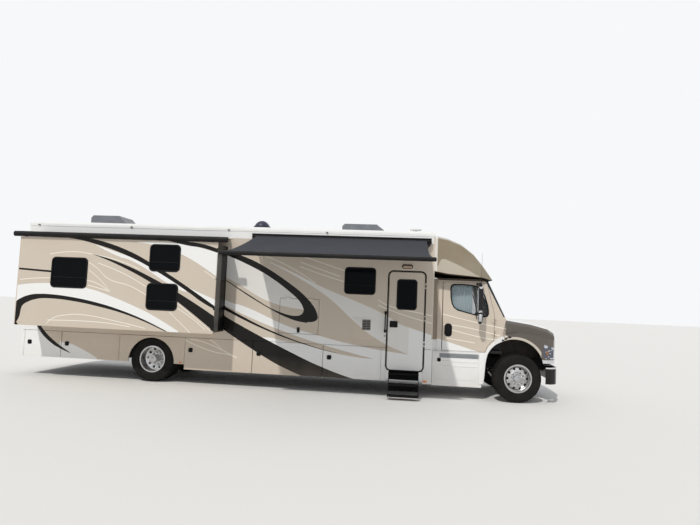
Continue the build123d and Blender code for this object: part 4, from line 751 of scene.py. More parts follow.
nodeFinish = {
    "frontWall": ["wall_front"],
    "house": ["wall_right", "wall_left", "wall_rear", "entry_door", "compartment_door",
              *(name for name in nodes if name.startswith("baggage_door"))],
    "lowerHouse": ["lower_body_right", "lower_body_left"],
    "slide": ["slide_room"],
    "cab": ["cab_shell", "cab_door_right", "cab_door_left"],
    "cap": ["cab_cap"],
    "hood": ["hood"],
    "sideBox": ["cab_steps"],
    "roof": ["roof"],
    "darkGlass": ["house_windows", "slide_glass", "entry_door_glass"],
    "cabGlass": ["windshield", "cab_glass_right", "cab_glass_left"],
    "rubber": ["front_tyre_right", "front_tyre_left", "rear_tyres_right", "rear_tyres_left"],
    "chrome": ["grille"],
    "alloy": ["front_rim_right", "front_rim_left", "rear_rims_right", "rear_rims_left"],
    "frameBlack": ["frame_rails", "hitch_receiver", "leaf_springs", "house_floor", "awning_frame",
                   "topper_roller"],
    "castIron": ["axles", "powertrain", "knuckle_right", "knuckle_left"],
    "steel": ["tie_rod"],
    "tank": ["underfloor_tanks"],
    "step": ["entry_step"],
    "roofKit": ["roof_equipment"],
    "fabric": ["awning_fabric", "topper_fabric"],
    "lamps": ["lamps"],
    "headlamp": ["headlamps"],
    "bumper": ["front_bumper"],
    "cabTrim": ["cab_interior", "steering_wheel"],
}
for key, names in nodeFinish.items():
    for name in names:
        mesh = nodes[name].data
        mesh.materials.clear()
        mesh.materials.append(finishes[key])
print("finishes are on", sum(len(names) for names in nodeFinish.values()), "CAD nodes")


# tools for new pieces; y is measured from the vehicle's middle plane, and negative is its right-hand side

sides = (("right", -1), ("left", 1))
middlePlane = Vector((0, centreLine, 0))


def around(middle, half):
    return (middle - half, middle + half)


def grown(span, amount):
    return (span[0] - amount, span[1] + amount)


def addInto(shape, part):  # joins a part's mesh to the piece's
    mesh = bpy.data.meshes.new("part")
    part.to_mesh(mesh)
    part.free()
    shape.from_mesh(mesh)
    bpy.data.meshes.remove(mesh)


def roundOff(part, items, offset, segments=2, affect="EDGES"):
    bmesh.ops.bevel(part, geom=items, offset=offset, offset_type="OFFSET", segments=segments, profile=0.5,
                    affect=affect, material=-1)


def addBlock(shape, x, y, z, edge=0.0, segments=2):
    part = bmesh.new()
    size = Matrix.Diagonal((x[1] - x[0], y[1] - y[0], z[1] - z[0], 1))
    middle = ((x[0] + x[1]) / 2, (y[0] + y[1]) / 2 + centreLine, (z[0] + z[1]) / 2)
    bmesh.ops.create_cube(part, size=1, matrix=Matrix.Translation(middle) @ size)
    if edge:
        roundOff(part, part.edges[:], edge, segments)
    addInto(shape, part)


def addRod(shape, start, end, radius, sides=20, endRadius=None, edge=0.0):
    part = bmesh.new()
    first, last = Vector(start) + middlePlane, Vector(end) + middlePlane
    along = last - first
    place = Matrix.Translation((first + last) / 2) @ along.to_track_quat("Z", "Y").to_matrix().to_4x4()
    tip = radius if endRadius is None else endRadius
    bmesh.ops.create_cone(part, cap_ends=True, segments=sides, radius1=radius, radius2=tip,
                          depth=along.length, matrix=place)
    if edge:
        rims = [line for line in part.edges if any(len(face.verts) > 4 for face in line.link_faces)]
        roundOff(part, rims, edge)
    addInto(shape, part)


def addStud(shape, x, z, y, height, radius, edge=0.002, sides=20):  # short rod that stands out of the wall
    addRod(shape, (x, y, z), (x, y - height, z), radius, sides=sides, edge=edge)


def addRing(shape, middle, axis, radius, thickness, steps, sides):  # a round bar bent into a full circle
    part = bmesh.new()
    centre = Vector(middle) + middlePlane
    axis = Vector(axis).normalized()
    out = axis.orthogonal().normalized()
    turn = Matrix((out, axis, out.cross(axis))).transposed().to_4x4()
    place = Matrix.Translation(centre + out * radius) @ turn
    bmesh.ops.create_circle(part, segments=sides, radius=thickness, matrix=place)
    bmesh.ops.spin(part, geom=part.verts[:] + part.edges[:], cent=centre, axis=axis, angle=2 * math.pi,
                   steps=steps, use_merge=True)
    addInto(shape, part)


def addSpun(shape, profile, middle, axis, steps):  # profile rows: distance along the axis, radius
    part = bmesh.new()
    centre = Vector(middle) + middlePlane
    axis = Vector(axis).normalized()
    out = axis.orthogonal().normalized()
    corners = [part.verts.new(centre + axis * along + out * radius) for along, radius in profile]
    edges = [part.edges.new(pair) for pair in zip(corners, corners[1:])]
    bmesh.ops.spin(part, geom=corners + edges, cent=centre, axis=axis, angle=2 * math.pi, steps=steps,
                   use_merge=True)
    bmesh.ops.remove_doubles(part, verts=part.verts, dist=0.00005)
    addInto(shape, part)


def uprightFace(x, z, radius):  # rounded rectangle that faces the vehicle's right-hand side
    part = bmesh.new()
    place = Matrix.Translation(((x[0] + x[1]) / 2, centreLine, (z[0] + z[1]) / 2))
    size = Matrix.Diagonal((x[1] - x[0], z[1] - z[0], 1, 1))
    place = place @ Matrix.Rotation(math.radians(90), 4, "X") @ size
    bmesh.ops.create_grid(part, x_segments=1, y_segments=1, size=0.5, matrix=place)
    roundOff(part, part.verts[:], radius, segments=6, affect="VERTICES")
    return part


def raiseFaces(part, y, depth, edge):  # gives upright faces their thickness, from y outwards
    made = bmesh.ops.extrude_face_region(part, geom=part.faces[:])["geom"]
    outer = [item for item in made if isinstance(item, bmesh.types.BMVert)]
    bmesh.ops.translate(part, verts=outer, vec=(0, -depth, 0))
    bmesh.ops.translate(part, verts=part.verts[:], vec=(0, y, 0))
    if edge:
        level = y - depth + centreLine
        rims = [line for line in part.edges
                if all(abs(corner.co.y - level) < 0.00001 for corner in line.verts)
                and any(abs(face.normal.y) < 0.5 for face in line.link_faces)]
        roundOff(part, rims, edge)


def cutMiddle(part, width):  # leaves a rim of that width
    face = part.faces[:][0]
    bmesh.ops.inset_region(part, faces=[face], thickness=width, use_even_offset=True, use_boundary=True)
    bmesh.ops.delete(part, geom=[face], context="FACES")


def addPlate(shape, x, z, radius, y, depth, edge=0.0):
    part = uprightFace(x, z, radius)
    raiseFaces(part, y, depth, edge)
    addInto(shape, part)


def addFrame(shape, x, z, radius, y, width, depth, edge):  # a plate with its middle taken out
    part = uprightFace(x, z, radius)
    cutMiddle(part, width)
    raiseFaces(part, y, depth, edge)
    addInto(shape, part)


def addOutline(shape, points, y, depth, edge, width=0.0):  # plate, or frame, of an outline in x and z
    part = bmesh.new()
    part.faces.new([part.verts.new((x, centreLine, z)) for x, z in points])
    bmesh.ops.recalc_face_normals(part, faces=part.faces)
    if part.faces[:][0].normal.y > 0:
        bmesh.ops.reverse_faces(part, faces=part.faces[:])
    if width:
        cutMiddle(part, width)
    raiseFaces(part, y, depth, edge)
    addInto(shape, part)


def finishPiece(name, shape, finish, body, replaces=(), sharp=38, mirrored=False, recalc=True):
    if mirrored:
        bmesh.ops.scale(shape, verts=shape.verts[:], vec=(1, -1, 1), space=Matrix.Translation(-middlePlane))
    bmesh.ops.remove_doubles(shape, verts=shape.verts[:], dist=0.00002)
    if recalc:
        bmesh.ops.recalc_face_normals(shape, faces=shape.faces[:])
    for face in shape.faces:
        face.smooth = True
    for line in shape.edges:
        if len(line.link_faces) == 2:
            line.smooth = line.calc_face_angle(0.0) < math.radians(sharp)
    mesh = bpy.data.meshes.new(name)
    shape.to_mesh(mesh)
    shape.free()
    mesh.materials.append(finishes[finish])
    piece = bpy.data.objects.new(name, mesh)
    bpy.context.collection.objects.link(piece)
    if body:
        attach(piece, body)
    if replaces:
        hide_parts(*replaces)
    return piece


def makePiece(name, finish, body, build, *values, **options):  # build shapes the piece from the values
    shape = bmesh.new()
    build(shape, *values)
    return finishPiece(name, shape, finish, body, **options)


def makePair(name, finish, body, build, *values):  # the same piece on both sides
    for side, sign in sides:
        makePiece(f"{name}-{side}", finish, body.format(side=side), build, *values, mirrored=sign > 0)


# tyres

tyre = {
    "radius": 0.510,
    "wall": [  # distance from the tyre's middle plane, radius
        (0.112, 0.287), (0.121, 0.296), (0.129, 0.312), (0.136, 0.335), (0.1385, 0.337), (0.1385, 0.343),
        (0.1375, 0.345), (0.140, 0.385), (0.140, 0.405), (0.1365, 0.440), (0.1375, 0.442), (0.1375, 0.448),
        (0.136, 0.450), (0.131, 0.478), (0.126, 0.492), (0.116, 0.502), (0.106, 0.506)],
    "crownDrop": 0.4,  # how the tread falls away, by the square of the distance
    "grooves": (-0.078, -0.027, 0.027, 0.078),
    "grooveTop": 0.0075,  # half widths
    "grooveFoot": 0.0045,
    "grooveDepth": 0.012,
    "steps": 84,
    "shoulder": (0.085, 0.112),
    "shoulderRadius": 0.5,
    "notchRim": 0.0045,
    "notchDepth": 0.007,
}


def tyreProfile():  # rows: distance along the axle, radius
    top, foot, depth = tyre["grooveTop"], tyre["grooveFoot"], tyre["grooveDepth"]
    tread = []
    for middle in tyre["grooves"]:
        crown = tyre["radius"] - tyre["crownDrop"] * middle ** 2
        tread += [(middle - top, crown), (middle - foot, crown - depth),
                  (middle + foot, crown - depth), (middle + top, crown)]
    return [(-offset, radius) for offset, radius in tyre["wall"]] + tread + tyre["wall"][::-1]


def addTyre(shape, middle, axis):
    part = bmesh.new()
    addSpun(part, tyreProfile(), -middlePlane, (0, 1, 0), tyre["steps"])
    bmesh.ops.recalc_face_normals(part, faces=part.faces[:])
    notches = []
    (inner, outer), step = tyre["shoulder"], 360 / tyre["steps"]
    for face in part.faces:
        place = face.calc_center_median()
        index = int(math.degrees(math.atan2(place.x, place.z)) % 360 / step)
        shoulder = inner < abs(place.y) < outer and math.hypot(place.x, place.z) > tyre["shoulderRadius"]
        if shoulder and index % 2 == (place.y > 0):
            notches.append(face)
    bmesh.ops.inset_individual(part, faces=notches, thickness=tyre["notchRim"], depth=-tyre["notchDepth"])
    turn = Vector((0, 1, 0)).rotation_difference(Vector(axis)).to_matrix().to_4x4()
    place = Matrix.Translation(Vector(middle) + middlePlane) @ turn
    bmesh.ops.transform(part, matrix=place, verts=part.verts[:])
    addInto(shape, part)


def addTyres(shape, places):
    for middle, axis in places:
        addTyre(shape, middle, axis)


axles = {"frontX": 5.190, "kingpinY": 0.880, "rearX": -2.895, "rearZ": 0.510, "twinsY": (1.080, 0.750)}
frontWheels = {}  # middle and axle direction, outwards, of each front wheel
rearWheels = {}
for side, sign in sides:
    low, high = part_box(f"front_tyre_{side}")
    middle = (low + high) / 2 - middlePlane
    outward = (middle - Vector((axles["frontX"], sign * axles["kingpinY"], middle.z))).normalized()
    frontWheels[side] = (middle, outward)
    twins = [Vector((axles["rearX"], sign * y, axles["rearZ"])) for y in axles["twinsY"]]
    rearWheels[side] = (twins[0], Vector((0, sign, 0)))
    makePiece(f"front-tyre-{side}-tread", "rubber", f"front_wheel_{side}", addTyres,
              [(middle, outward * sign)], replaces=(f"front_tyre_{side}",), sharp=30)
    makePiece(f"rear-tyres-{side}-tread", "rubber", f"rear_wheels_{side}", addTyres,
              [(twin, (0, 1, 0)) for twin in twins], replaces=(f"rear_tyres_{side}",), sharp=30)
print("tyres are made")


# brake drums, dark behind the hand holes, and covers over the wheels' hubs and nuts

drum = {
    "profile": [
        (-0.012, 0.150), (0.0, 0.152), (0.0, 0.240), (-0.004, 0.244), (-0.012, 0.244), (-0.012, 0.150)],
    "offset": 0.056,
}
hub = {
    "nuts": 10,
    "nutCircle": 0.130,
    "nut": [(-0.012, 0.02145), (0.003, 0.020625), (0.005, 0.0165), (0.032, 0.01419), (0.040, 0.0066),
            (0.0408, 0.0)],
    "cover": [(-0.055, 0.092), (-0.046, 0.086), (0.000, 0.086), (0.008, 0.07998), (0.011, 0.06192),
              (0.006, 0.05676), (0.006, 0.0344), (0.012, 0.02924), (0.012, 0.0)],
    "frontOffsets": (0.085, 0.135),  # from the wheel's middle to the nuts' feet, and to the cover
    "rearOffsets": (-0.151, 0.120),
}


def addHub(shape, middle, out, offsets):
    nutFace, coverFace = offsets
    addSpun(shape, hub["cover"], middle + out * coverFace, out, 36)
    across = out.orthogonal().normalized()
    for index in range(hub["nuts"]):
        turn = Matrix.Rotation(2 * math.pi * (index + 0.5) / hub["nuts"], 3, out)
        addSpun(shape, hub["nut"], middle + out * nutFace + turn @ across * hub["nutCircle"], out, 8)


for side, sign in sides:
    middle, outward = frontWheels[side]
    makePiece(f"brake-drum-{side}", "frameBlack", f"front_wheel_{side}", addSpun, drum["profile"],
              middle + outward * drum["offset"], outward, 48)
    makePiece(f"front-hub-{side}", "chrome", f"front_wheel_{side}", addHub, middle, outward,
              hub["frontOffsets"], sharp=28)
    makePiece(f"rear-hub-{side}", "chrome", f"rear_wheels_{side}", addHub, *rearWheels[side],
              hub["rearOffsets"], sharp=28)
print("wheels are dressed")


# window rubbers and the bars across the panes

windowTrim = {
    "width": 0.032,
    "grow": 0.014,
    "depth": 0.011,
    "edge": 0.003,
    "bar": 0.34,  # share of the height
    "barHalf": 0.008,
    "barDepth": (-0.004, 0.007),
    "barEdge": 0.002,
}
windowFaces = {"chassis": -1.277, "entry_door": -1.277, "slide_room": -1.977}
windowRows = [  # name, body, x and z of the opening, corner radius
    ("house-window-right", "chassis", (1.455, 2.120), (2.176, 2.748), 0.070),
    ("house-window-left-front", "chassis", (1.270, 2.070), (2.100, 2.740), 0.070),
    ("house-window-left-middle", "chassis", (-1.530, -0.330), (1.950, 2.740), 0.070),
    ("house-window-left-rear", "chassis", (-4.595, -3.995), (2.176, 2.748), 0.070),
    ("slide-window-rear", "slide_room", (-4.965, -4.145), (2.055, 2.705), 0.085),
    ("slide-window-high", "slide_room", (-2.725, -2.055), (2.487, 3.054), 0.085),
    ("slide-window-low", "slide_room", (-2.745, -2.065), (1.655, 2.211), 0.085),
    ("entry-door-window", "entry_door", (2.613, 3.030), (1.882, 2.522), 0.062),
]


def windowRubber(shape, x, z, radius, face, barred):
    grow = windowTrim["grow"]
    addFrame(shape, grown(x, grow), grown(z, grow), radius + grow, face, windowTrim["width"],
             windowTrim["depth"], windowTrim["edge"])
    if barred:
        level = z[0] + windowTrim["bar"] * (z[1] - z[0])
        depth = tuple(face + part for part in windowTrim["barDepth"])
        addBlock(shape, grown(x, -0.01), depth, around(level, windowTrim["barHalf"]), windowTrim["barEdge"])


for name, body, x, z, radius in windowRows:
    makePiece(name + "-rubber", "trimBlack", body, windowRubber, x, z, radius, windowFaces[body],
              body != "entry_door", mirrored="left" in name)
print("windows have their rubbers")


# entry door: dark surround, latch, handle bar, porch lamp and bell

wallFace = -1.279
entry = {
    "surround": ((2.398, 3.238), (0.546, 2.724), 0.120),  # x, z, corner radius
    "surroundWidth": 0.029,
    "latch": ((2.470, 2.640), (1.480, 1.618)),
    "barX": 2.372,
    "bar": (1.362, 1.822),
    "barOut": 0.061,
    "barRadius": 0.0145,
    "barRibs": 9,
    "bell": (2.372, 1.288),
    "lamp": ((2.694, 2.932), (2.766, 2.862)),
}


def entrySurround(shape):
    addFrame(shape, *entry["surround"], wallFace + 0.001, entry["surroundWidth"], 0.005, 0.0015)


def entryLatch(shape):
    x, z = entry["latch"]
    face = wallFace - 0.0195
    addPlate(shape, x, z, 0.018, wallFace, 0.020, 0.005)
    addFrame(shape, (x[0] + 0.012, x[1] - 0.056), grown(z, -0.020), 0.010, face, 0.007, 0.006, 0.002)
    addPlate(shape, (x[0] + 0.026, x[1] - 0.070), grown(z, -0.034), 0.006, face, 0.011, 0.003)
    lockX, lockZ = x[1] - 0.030, z[1] - 0.048
    addStud(shape, lockX, lockZ, wallFace - 0.018, 0.007, 0.013)
    addBlock(shape, around(lockX, 0.0015), (wallFace - 0.0255, wallFace - 0.024), around(lockZ, 0.008))
    addStud(shape, lockX, z[0] + 0.040, wallFace - 0.018, 0.006, 0.010)


def entryBar(shape):
    x, (low, high), out = entry["barX"], entry["bar"], wallFace - entry["barOut"]
    addRod(shape, (x, out, low), (x, out, high), entry["barRadius"], sides=24, edge=0.003)
    for level in (low + 0.03, high - 0.03):
        addRod(shape, (x, out, level), (x, wallFace - 0.0005, level), 0.012)
        addPlate(shape, around(x, 0.024), around(level, 0.036), 0.020, wallFace, 0.008, 0.002)
    ribs = entry["barRibs"]
    for index in range(ribs):
        level = low + 0.08 + index * (high - low - 0.16) / (ribs - 1)
        addRing(shape, (x, out, level), (0, 0, 1), entry["barRadius"] - 0.0003, 0.0022, steps=20, sides=6)


def entryBell(shape):
    addStud(shape, *entry["bell"], wallFace, 0.011, 0.020, edge=0.003, sides=28)
    addStud(shape, *entry["bell"], wallFace - 0.010, 0.005, 0.009)


def porchLens(shape):
    x, z = entry["lamp"]
    addPlate(shape, grown(x, -0.020), (z[0] + 0.012, z[1] - 0.026), 0.028, wallFace - 0.011, 0.043, 0.016)


makePiece("entry-door-surround", "trimBlack", "chassis", entrySurround)
makePiece("entry-door-latch", "trimBlack", "entry_door", entryLatch)
makePiece("entry-handle-bar", "trimBlack", "chassis", entryBar)
makePiece("entry-bell", "shroud", "chassis", entryBell)
makePiece("porch-lamp-base", "trimBlack", "chassis", addPlate, *entry["lamp"], 0.046, wallFace, 0.012,
          0.003)
makePiece("porch-lamp-lens", "lampLens", "chassis", porchLens)


# latches of the luggage, compartment and cab-side doors

luggage = {
    "level": 0.766,
    "size": 0.098,
    "doors": {"right_1": -5.855, "right_2": -4.935, "right_3": -1.975, "right_4": -0.406, "right_5": 1.173,
              "left_1": -4.935, "left_2": 1.173},  # x of each latch
}
sideBoxLatch = (3.560, 0.823, -1.1192, 0.080)  # x, z, y, size
paddleProfile = [  # distance along the axis, share of half the size
    (0.0, 0.84), (0.005, 0.82), (0.006, 0.72), (0.001, 0.66), (0.001, 0.0)]
compartmentLatch = {
    "plate": ((0.430, 0.490), (1.268, 1.384)),
    "paddle": ((0.442, 0.478), (1.284, 1.350)),
    "lock": (0.460, 1.367),
}


def bezelLatch(shape, x, z, y, size):  # square bezel with a round paddle in it
    half = size / 2
    addPlate(shape, around(x, half), around(z, half), size * 0.26, y, 0.012, 0.004)
    profile = [(depth, half * share) for depth, share in paddleProfile]
    addSpun(shape, profile, (x, y - 0.0115, z), (0, -1, 0), 28)
    addPlate(shape, around(x, half * 0.2), around(z, half * 0.55), 0.004, y - 0.0125, 0.008, 0.002)


def doorLatch(shape):
    addPlate(shape, *compartmentLatch["plate"], 0.012, wallFace, 0.014, 0.003)
    addPlate(shape, *compartmentLatch["paddle"], 0.008, wallFace - 0.0135, 0.008, 0.002)
    addStud(shape, *compartmentLatch["lock"], wallFace - 0.013, 0.006, 0.007, edge=0.001)


for door, x in luggage["doors"].items():
    makePiece("latch-" + door.replace("_", "-"), "trimBlack", "baggage_door_" + door, bezelLatch, x,
              luggage["level"], wallFace - 0.0005, luggage["size"], mirrored="left" in door)
makePiece("compartment-latch", "trimBlack", "compartment_door", doorLatch)
makePair("side-box-latch", "trimBlack", "chassis", bezelLatch, *sideBoxLatch)


# heater panel beside the entry door, with its grille

heater = {
    "panel": ((1.663, 2.146), (1.200, 1.666)),
    "grille": ((1.872, 2.056), (1.394, 1.622)),
    "slats": 6,
}
heaterFace = wallFace - 0.0045


def heaterGrille(shape):
    (x, z), slats = heater["grille"], heater["slats"]
    depth = (heaterFace - 0.007, heaterFace)
    addFrame(shape, x, z, 0.010, heaterFace, 0.012, 0.008, 0.002)
    for index in range(slats):
        level = z[0] + (index + 0.7) * (z[1] - z[0]) / (slats + 0.4)
        addBlock(shape, grown(x, -0.008), depth, (level - 0.010, level + 0.008), 0.002)
    addBlock(shape, grown(x, -0.087), (heaterFace - 0.0073, heaterFace), grown(z, -0.006), 0.002)


makePiece("heater-panel", "house", "chassis", addPlate, *heater["panel"], 0.014, wallFace, 0.005, 0.0015)
makePiece("heater-grille", "greyPlastic", "chassis", heaterGrille)
makePiece("heater-grille-back", "trimBlack", "chassis", addPlate,
          *(grown(span, -0.006) for span in heater["grille"]), 0.004, heaterFace, 0.0008)
print("entry door, latches and heater panel are made")


# roof edge: drip rail and rain spouts

rail = ((-6.085, 3.395), (wallFace - 0.0085, wallFace), (3.484, 3.499))  # x, y, z
spoutPlaces = (-5.846, -3.563, -1.245, 1.008)


def rainSpouts(shape):
    for x in spoutPlaces:
        addBlock(shape, around(x, 0.024), (-1.312, -1.284), (3.498, 3.524), 0.005)
        addBlock(shape, around(x, 0.013), (-1.318, -1.290), (3.503, 3.511), 0.002)


makePair("drip-rail", "roof", "chassis", addBlock, *rail, 0.003)
makePair("rain-spouts", "greyPlastic", "chassis", rainSpouts)


# awning cloth, and the cloth over the slide-out that its roller takes up

awning = {
    "x": (-0.560, 3.210),
    "root": (-1.4003, 3.3765),  # y and z of the edge at the wall
    "tip": (-3.4417, 2.8215),
    "flat": (3.770, 2.116),
    "cells": (64, 36),
    "sag": 0.028,
}
topper = {
    "x": (-5.795, -1.195),
    "root": (-1.2885, 3.3015),
    "tip": (-2.0000, 3.2645),
    "flat": (4.600, 0.713),
    "cells": (72, 14),
    "sag": 0.012,
}
ripples = ((0.0035, 6.3, 2.5), (0.002, 17, -5))  # height, then turns along the cloth and across it


def hangCloth(shape, settings):
    (low, high), root, tip = settings["x"], settings["root"], settings["tip"]
    stretch = Matrix.Translation(((low + high) / 2, 0, 0)) @ Matrix.Diagonal((high - low, 1, 1, 1))
    bmesh.ops.create_grid(shape, x_segments=settings["cells"][0], y_segments=settings["cells"][1], size=0.5,
                          matrix=stretch)
    for corner in shape.verts:
        share = 0.5 - corner.co.y
        sag = settings["sag"] + sum(height * math.sin(corner.co.x * along + share * across)
                                    for height, along, across in ripples)
        corner.co.y = root[0] + (tip[0] - root[0]) * share + centreLine
        corner.co.z = root[1] + (tip[1] - root[1]) * share - sag * math.sin(math.pi * share)


def thicken(piece, thickness):
    made = piece.modifiers.new("thickness", "SOLIDIFY")
    made.thickness = thickness
    made.offset = 0


def addCloth(name, settings, body):
    piece = makePiece(name, "fabric", body, hangCloth, settings, recalc=False,
                      replaces=(name.replace("-cloth", "_fabric"),))
    thicken(piece, 0.0018)
    return piece


addCloth("awning-cloth", awning, "chassis")
topperCloth = addCloth("topper-cloth", topper, None)
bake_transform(topperCloth)

awningCase = {
    "x": (-0.650, 3.300),
    "capOut": 0.014,
    "capZ": (3.318, 3.437),
    "railY": (-1.4035, -1.398),
    "railLevels": ((3.322, 3.336), (3.404, 3.420)),
    "lid": ((-0.655, 3.305), (-1.372, -1.284), (3.4345, 3.4385)),
}
awningBar = {"y": -3.480, "z": 2.810, "ends": (-0.664, 3.286), "radius": 0.0375, "hem": (-0.620, 3.270)}
topperEnds = {"x": (-5.888, -1.030), "y": -2.000, "z": 3.205, "radius": 0.050, "width": 0.018}


def awningCaseTrim(shape):  # end caps and the lips of the case's opening
    low, high = awningCase["x"]
    for x in (low - awningCase["capOut"], high):
        addPlate(shape, (x, x + awningCase["capOut"]), awningCase["capZ"], 0.003, -1.281, 0.121, 0.002)
    for level in awningCase["railLevels"]:
        addBlock(shape, awningCase["x"], awningCase["railY"], level, 0.002)


def addCrossRod(shape, x, y, z, radius, sides, edge=0.0):
    addRod(shape, (x[0], y, z), (x[1], y, z), radius, sides=sides, edge=edge)


def awningBarEnds(shape):
    y, z, radius = awningBar["y"], awningBar["z"], awningBar["radius"]
    for x in awningBar["ends"]:
        addCrossRod(shape, (x, x + 0.028), y, z, radius, 32, 0.005)
        addCrossRod(shape, (x - 0.004, x + 0.032), y, z, 0.012, 20, 0.002)
    addCrossRod(shape, awningBar["hem"], y, z - radius, 0.0045, 8)


def topperDiscs(shape):
    y, z, radius = topperEnds["y"], topperEnds["z"], topperEnds["radius"]
    for x in topperEnds["x"]:
        addCrossRod(shape, (x, x + topperEnds["width"]), y, z, radius, 36, 0.006)


makePiece("awning-case-trim", "trimBlack", "chassis", awningCaseTrim)
makePiece("awning-case-lid", "shroud", "chassis", addBlock, *awningCase["lid"], 0.001)
makePiece("awning-bar-ends", "trimBlack", "chassis", awningBarEnds)
makePiece("topper-ends", "trimBlack", "slide_room", topperDiscs)
print("awning and topper are hung")


# steps below the entry door, and the rear of the fender beside the cab's side box

step = {
    "x": (2.478, 3.128),
    "treads": [  # outer y, inner y, top
        (-1.440, -1.180, 0.515), (-1.590, -1.390, 0.305), (-1.740, -1.550, 0.095)],
    "ribs": 7,
    "riser": 0.165,
    "lowest": 0.040,
}
fenderTail = {
    "outline": [
        (4.42, 0.35), (4.42, 1.02), (4.6, 1.02), (4.588, 0.97), (4.568, 0.88), (4.555, 0.8), (4.548, 0.72),
        (4.542, 0.62), (4.534, 0.52), (4.524, 0.43), (4.512, 0.35)],
    "y": -1.050,
    "depth": 0.085,
}


def stepTreads(shape):  # ribs on each tread, and a riser behind it
    for outer, inner, top in step["treads"]:
        for index in range(step["ribs"]):
            y = outer + 0.018 + index * (inner - outer - 0.036) / (step["ribs"] - 1)
            rib = (grown(step["x"], -0.02), around(y, 0.005), (top - 0.001, top + 0.004))
            addBlock(shape, *rib, 0.0015, 1)
        riser = (max(step["lowest"], top - step["riser"]), top - 0.004)
        addBlock(shape, grown(step["x"], -0.004), (inner - 0.003, inner + 0.001), riser, 0.001, 1)


makePiece("step-treads", "step", "chassis", stepTreads)
makePair("fender-tail", "white", "chassis", addOutline, fenderTail["outline"], fenderTail["y"],
         fenderTail["depth"], 0.008)


# cab sides: window rubber, handle, mirrors, antenna

cabWindow = {
    "outline": [
        (3.773, 2.375), (3.796, 2.449), (3.864, 2.488), (4.005, 2.496), (4.21, 2.484), (4.363, 2.463),
        (4.466, 2.402), (4.533, 2.25), (4.588, 2.084), (4.616, 1.944), (4.618, 1.847), (4.577, 1.788),
        (4.494, 1.777), (4.328, 1.808), (4.124, 1.858), (3.944, 1.905), (3.853, 1.963), (3.807, 2.052),
        (3.784, 2.168)],
    "y": -1.044,
    "depth": 0.011,
    "width": 0.026,
    "lean": ((1.40, 0.0133), (1.745, 0.110)),  # from each height the cab's side leans in by this slope
}
cabHandle = {"x": (3.664, 3.828), "z": (1.328, 1.612), "y": -1.0485}
mirror = {
    "upper": ((4.330, 4.436), (-1.439, -1.234), (1.874, 2.436)),
    "lower": ((4.334, 4.432), (-1.436, -1.244), (1.684, 1.856)),
    "round": 0.036,
    "glassRim": 0.026,
    "arms": [  # x, y, z and edge of the blocks that hold the shells
        ((4.352, 4.418), (-1.392, -1.288), (1.850, 1.880), 0.008),
        ((4.352, 4.418), (-1.386, -1.294), (1.645, 1.690), 0.012),
        ((4.356, 4.414), (-1.385, -1.295), (2.430, 2.492), 0.014)],
    "feet": [((1.735, 1.805), -1.048), ((2.473, 2.523), -0.962)],  # z and y of the plates on the door
    "footX": (4.340, 4.430),
}
antenna = {"foot": (4.400, -1.312, 2.470), "neck": (4.400, -1.312, 2.580), "tip": (4.404, -1.312, 3.155)}


def cabWindowRubber(shape):
    addOutline(shape, cabWindow["outline"], cabWindow["y"], cabWindow["depth"], 0.003, cabWindow["width"])
    for corner in shape.verts:
        level = corner.co.z
        corner.co.y += sum(slope * max(0.0, level - start) for start, slope in cabWindow["lean"])


def cabDoorHandle(shape):
    x, z, y = cabHandle["x"], cabHandle["z"], cabHandle["y"]
    addPlate(shape, x, z, 0.072, y, 0.010, 0.004)
    addFrame(shape, grown(x, -0.020), grown(z, -0.022), 0.056, y - 0.0095, 0.016, 0.010, 0.004)
    addPlate(shape, grown(x, -0.058), grown(z, -0.044), 0.020, y - 0.0095, 0.022, 0.007)
    addStud(shape, sum(x) / 2, z[0] + 0.017, y - 0.0085, 0.007, 0.010)


def mirrorShells(shape):
    for part in ("upper", "lower"):
        addBlock(shape, *mirror[part], mirror["round"], 4)


def mirrorGlass(shape):  # plates made upright, then turned to face the rear
    for key in ("upper", "lower"):
        (x, _), y, z = mirror[key]
        part = uprightFace(grown(y, -mirror["glassRim"]), grown(z, -mirror["glassRim"]), 0.024)
        raiseFaces(part, 0.0, 0.005, 0.0015)
        place = x + 0.002 - centreLine
        turn = Matrix(((0, 1, 0, place), (1, 0, 0, centreLine), (0, 0, 1, 0), (0, 0, 0, 1)))
        bmesh.ops.transform(part, matrix=turn, verts=part.verts[:])
        addInto(shape, part)


def mirrorFeet(shape):
    for row in mirror["arms"]:
        addBlock(shape, *row)
    for z, y in mirror["feet"]:
        addPlate(shape, mirror["footX"], z, 0.018, y, 0.020, 0.006)


def whipAntenna(shape):
    addRod(shape, antenna["foot"], antenna["neck"], 0.011, sides=16, endRadius=0.007)
    addRod(shape, antenna["neck"], antenna["tip"], 0.0036, sides=8, endRadius=0.002)


makePair("cab-window-rubber", "trimBlack", "cab_door_{side}", cabWindowRubber)
makePair("cab-door-handle", "trimBlack", "cab_door_{side}", cabDoorHandle)
makePair("mirror-shells", "chrome", "cab_door_{side}", mirrorShells)
makePair("mirror-glass", "mirrorGlass", "cab_door_{side}", mirrorGlass)
makePair("mirror-feet", "trimBlack", "cab_door_{side}", mirrorFeet)
makePiece("whip-antenna", "trimBlack", "cab_door_right", whipAntenna)


# wipers, windscreen seal and fender slots

wiper = {"pivots": (0.62, -0.08), "pivotZ": 1.838, "bladeZ": 1.893, "blades": 8, "bladeStep": 0.075}
seal = {"levels": (1.838, 2.490), "half": 0.864, "steps": 16, "sides": (-0.870, 0.870), "radius": 0.013}
slots = {  # x, z, length, height and slope in degrees
    "rear": [(4.893, 1.306, 0.044, 0.034, 33)],
    "front": [(4.962, 1.345, 0.066, 0.036, 27), (5.040, 1.378, 0.066, 0.034, 19)],
    "y": -1.1985,
}


def onScreen(y, z, lift=0.0):  # a place on the windscreen, lift metres in front of it
    return (4.887 - 0.5 * (z - 2.10) - 0.083 * y * y + lift, y, z)


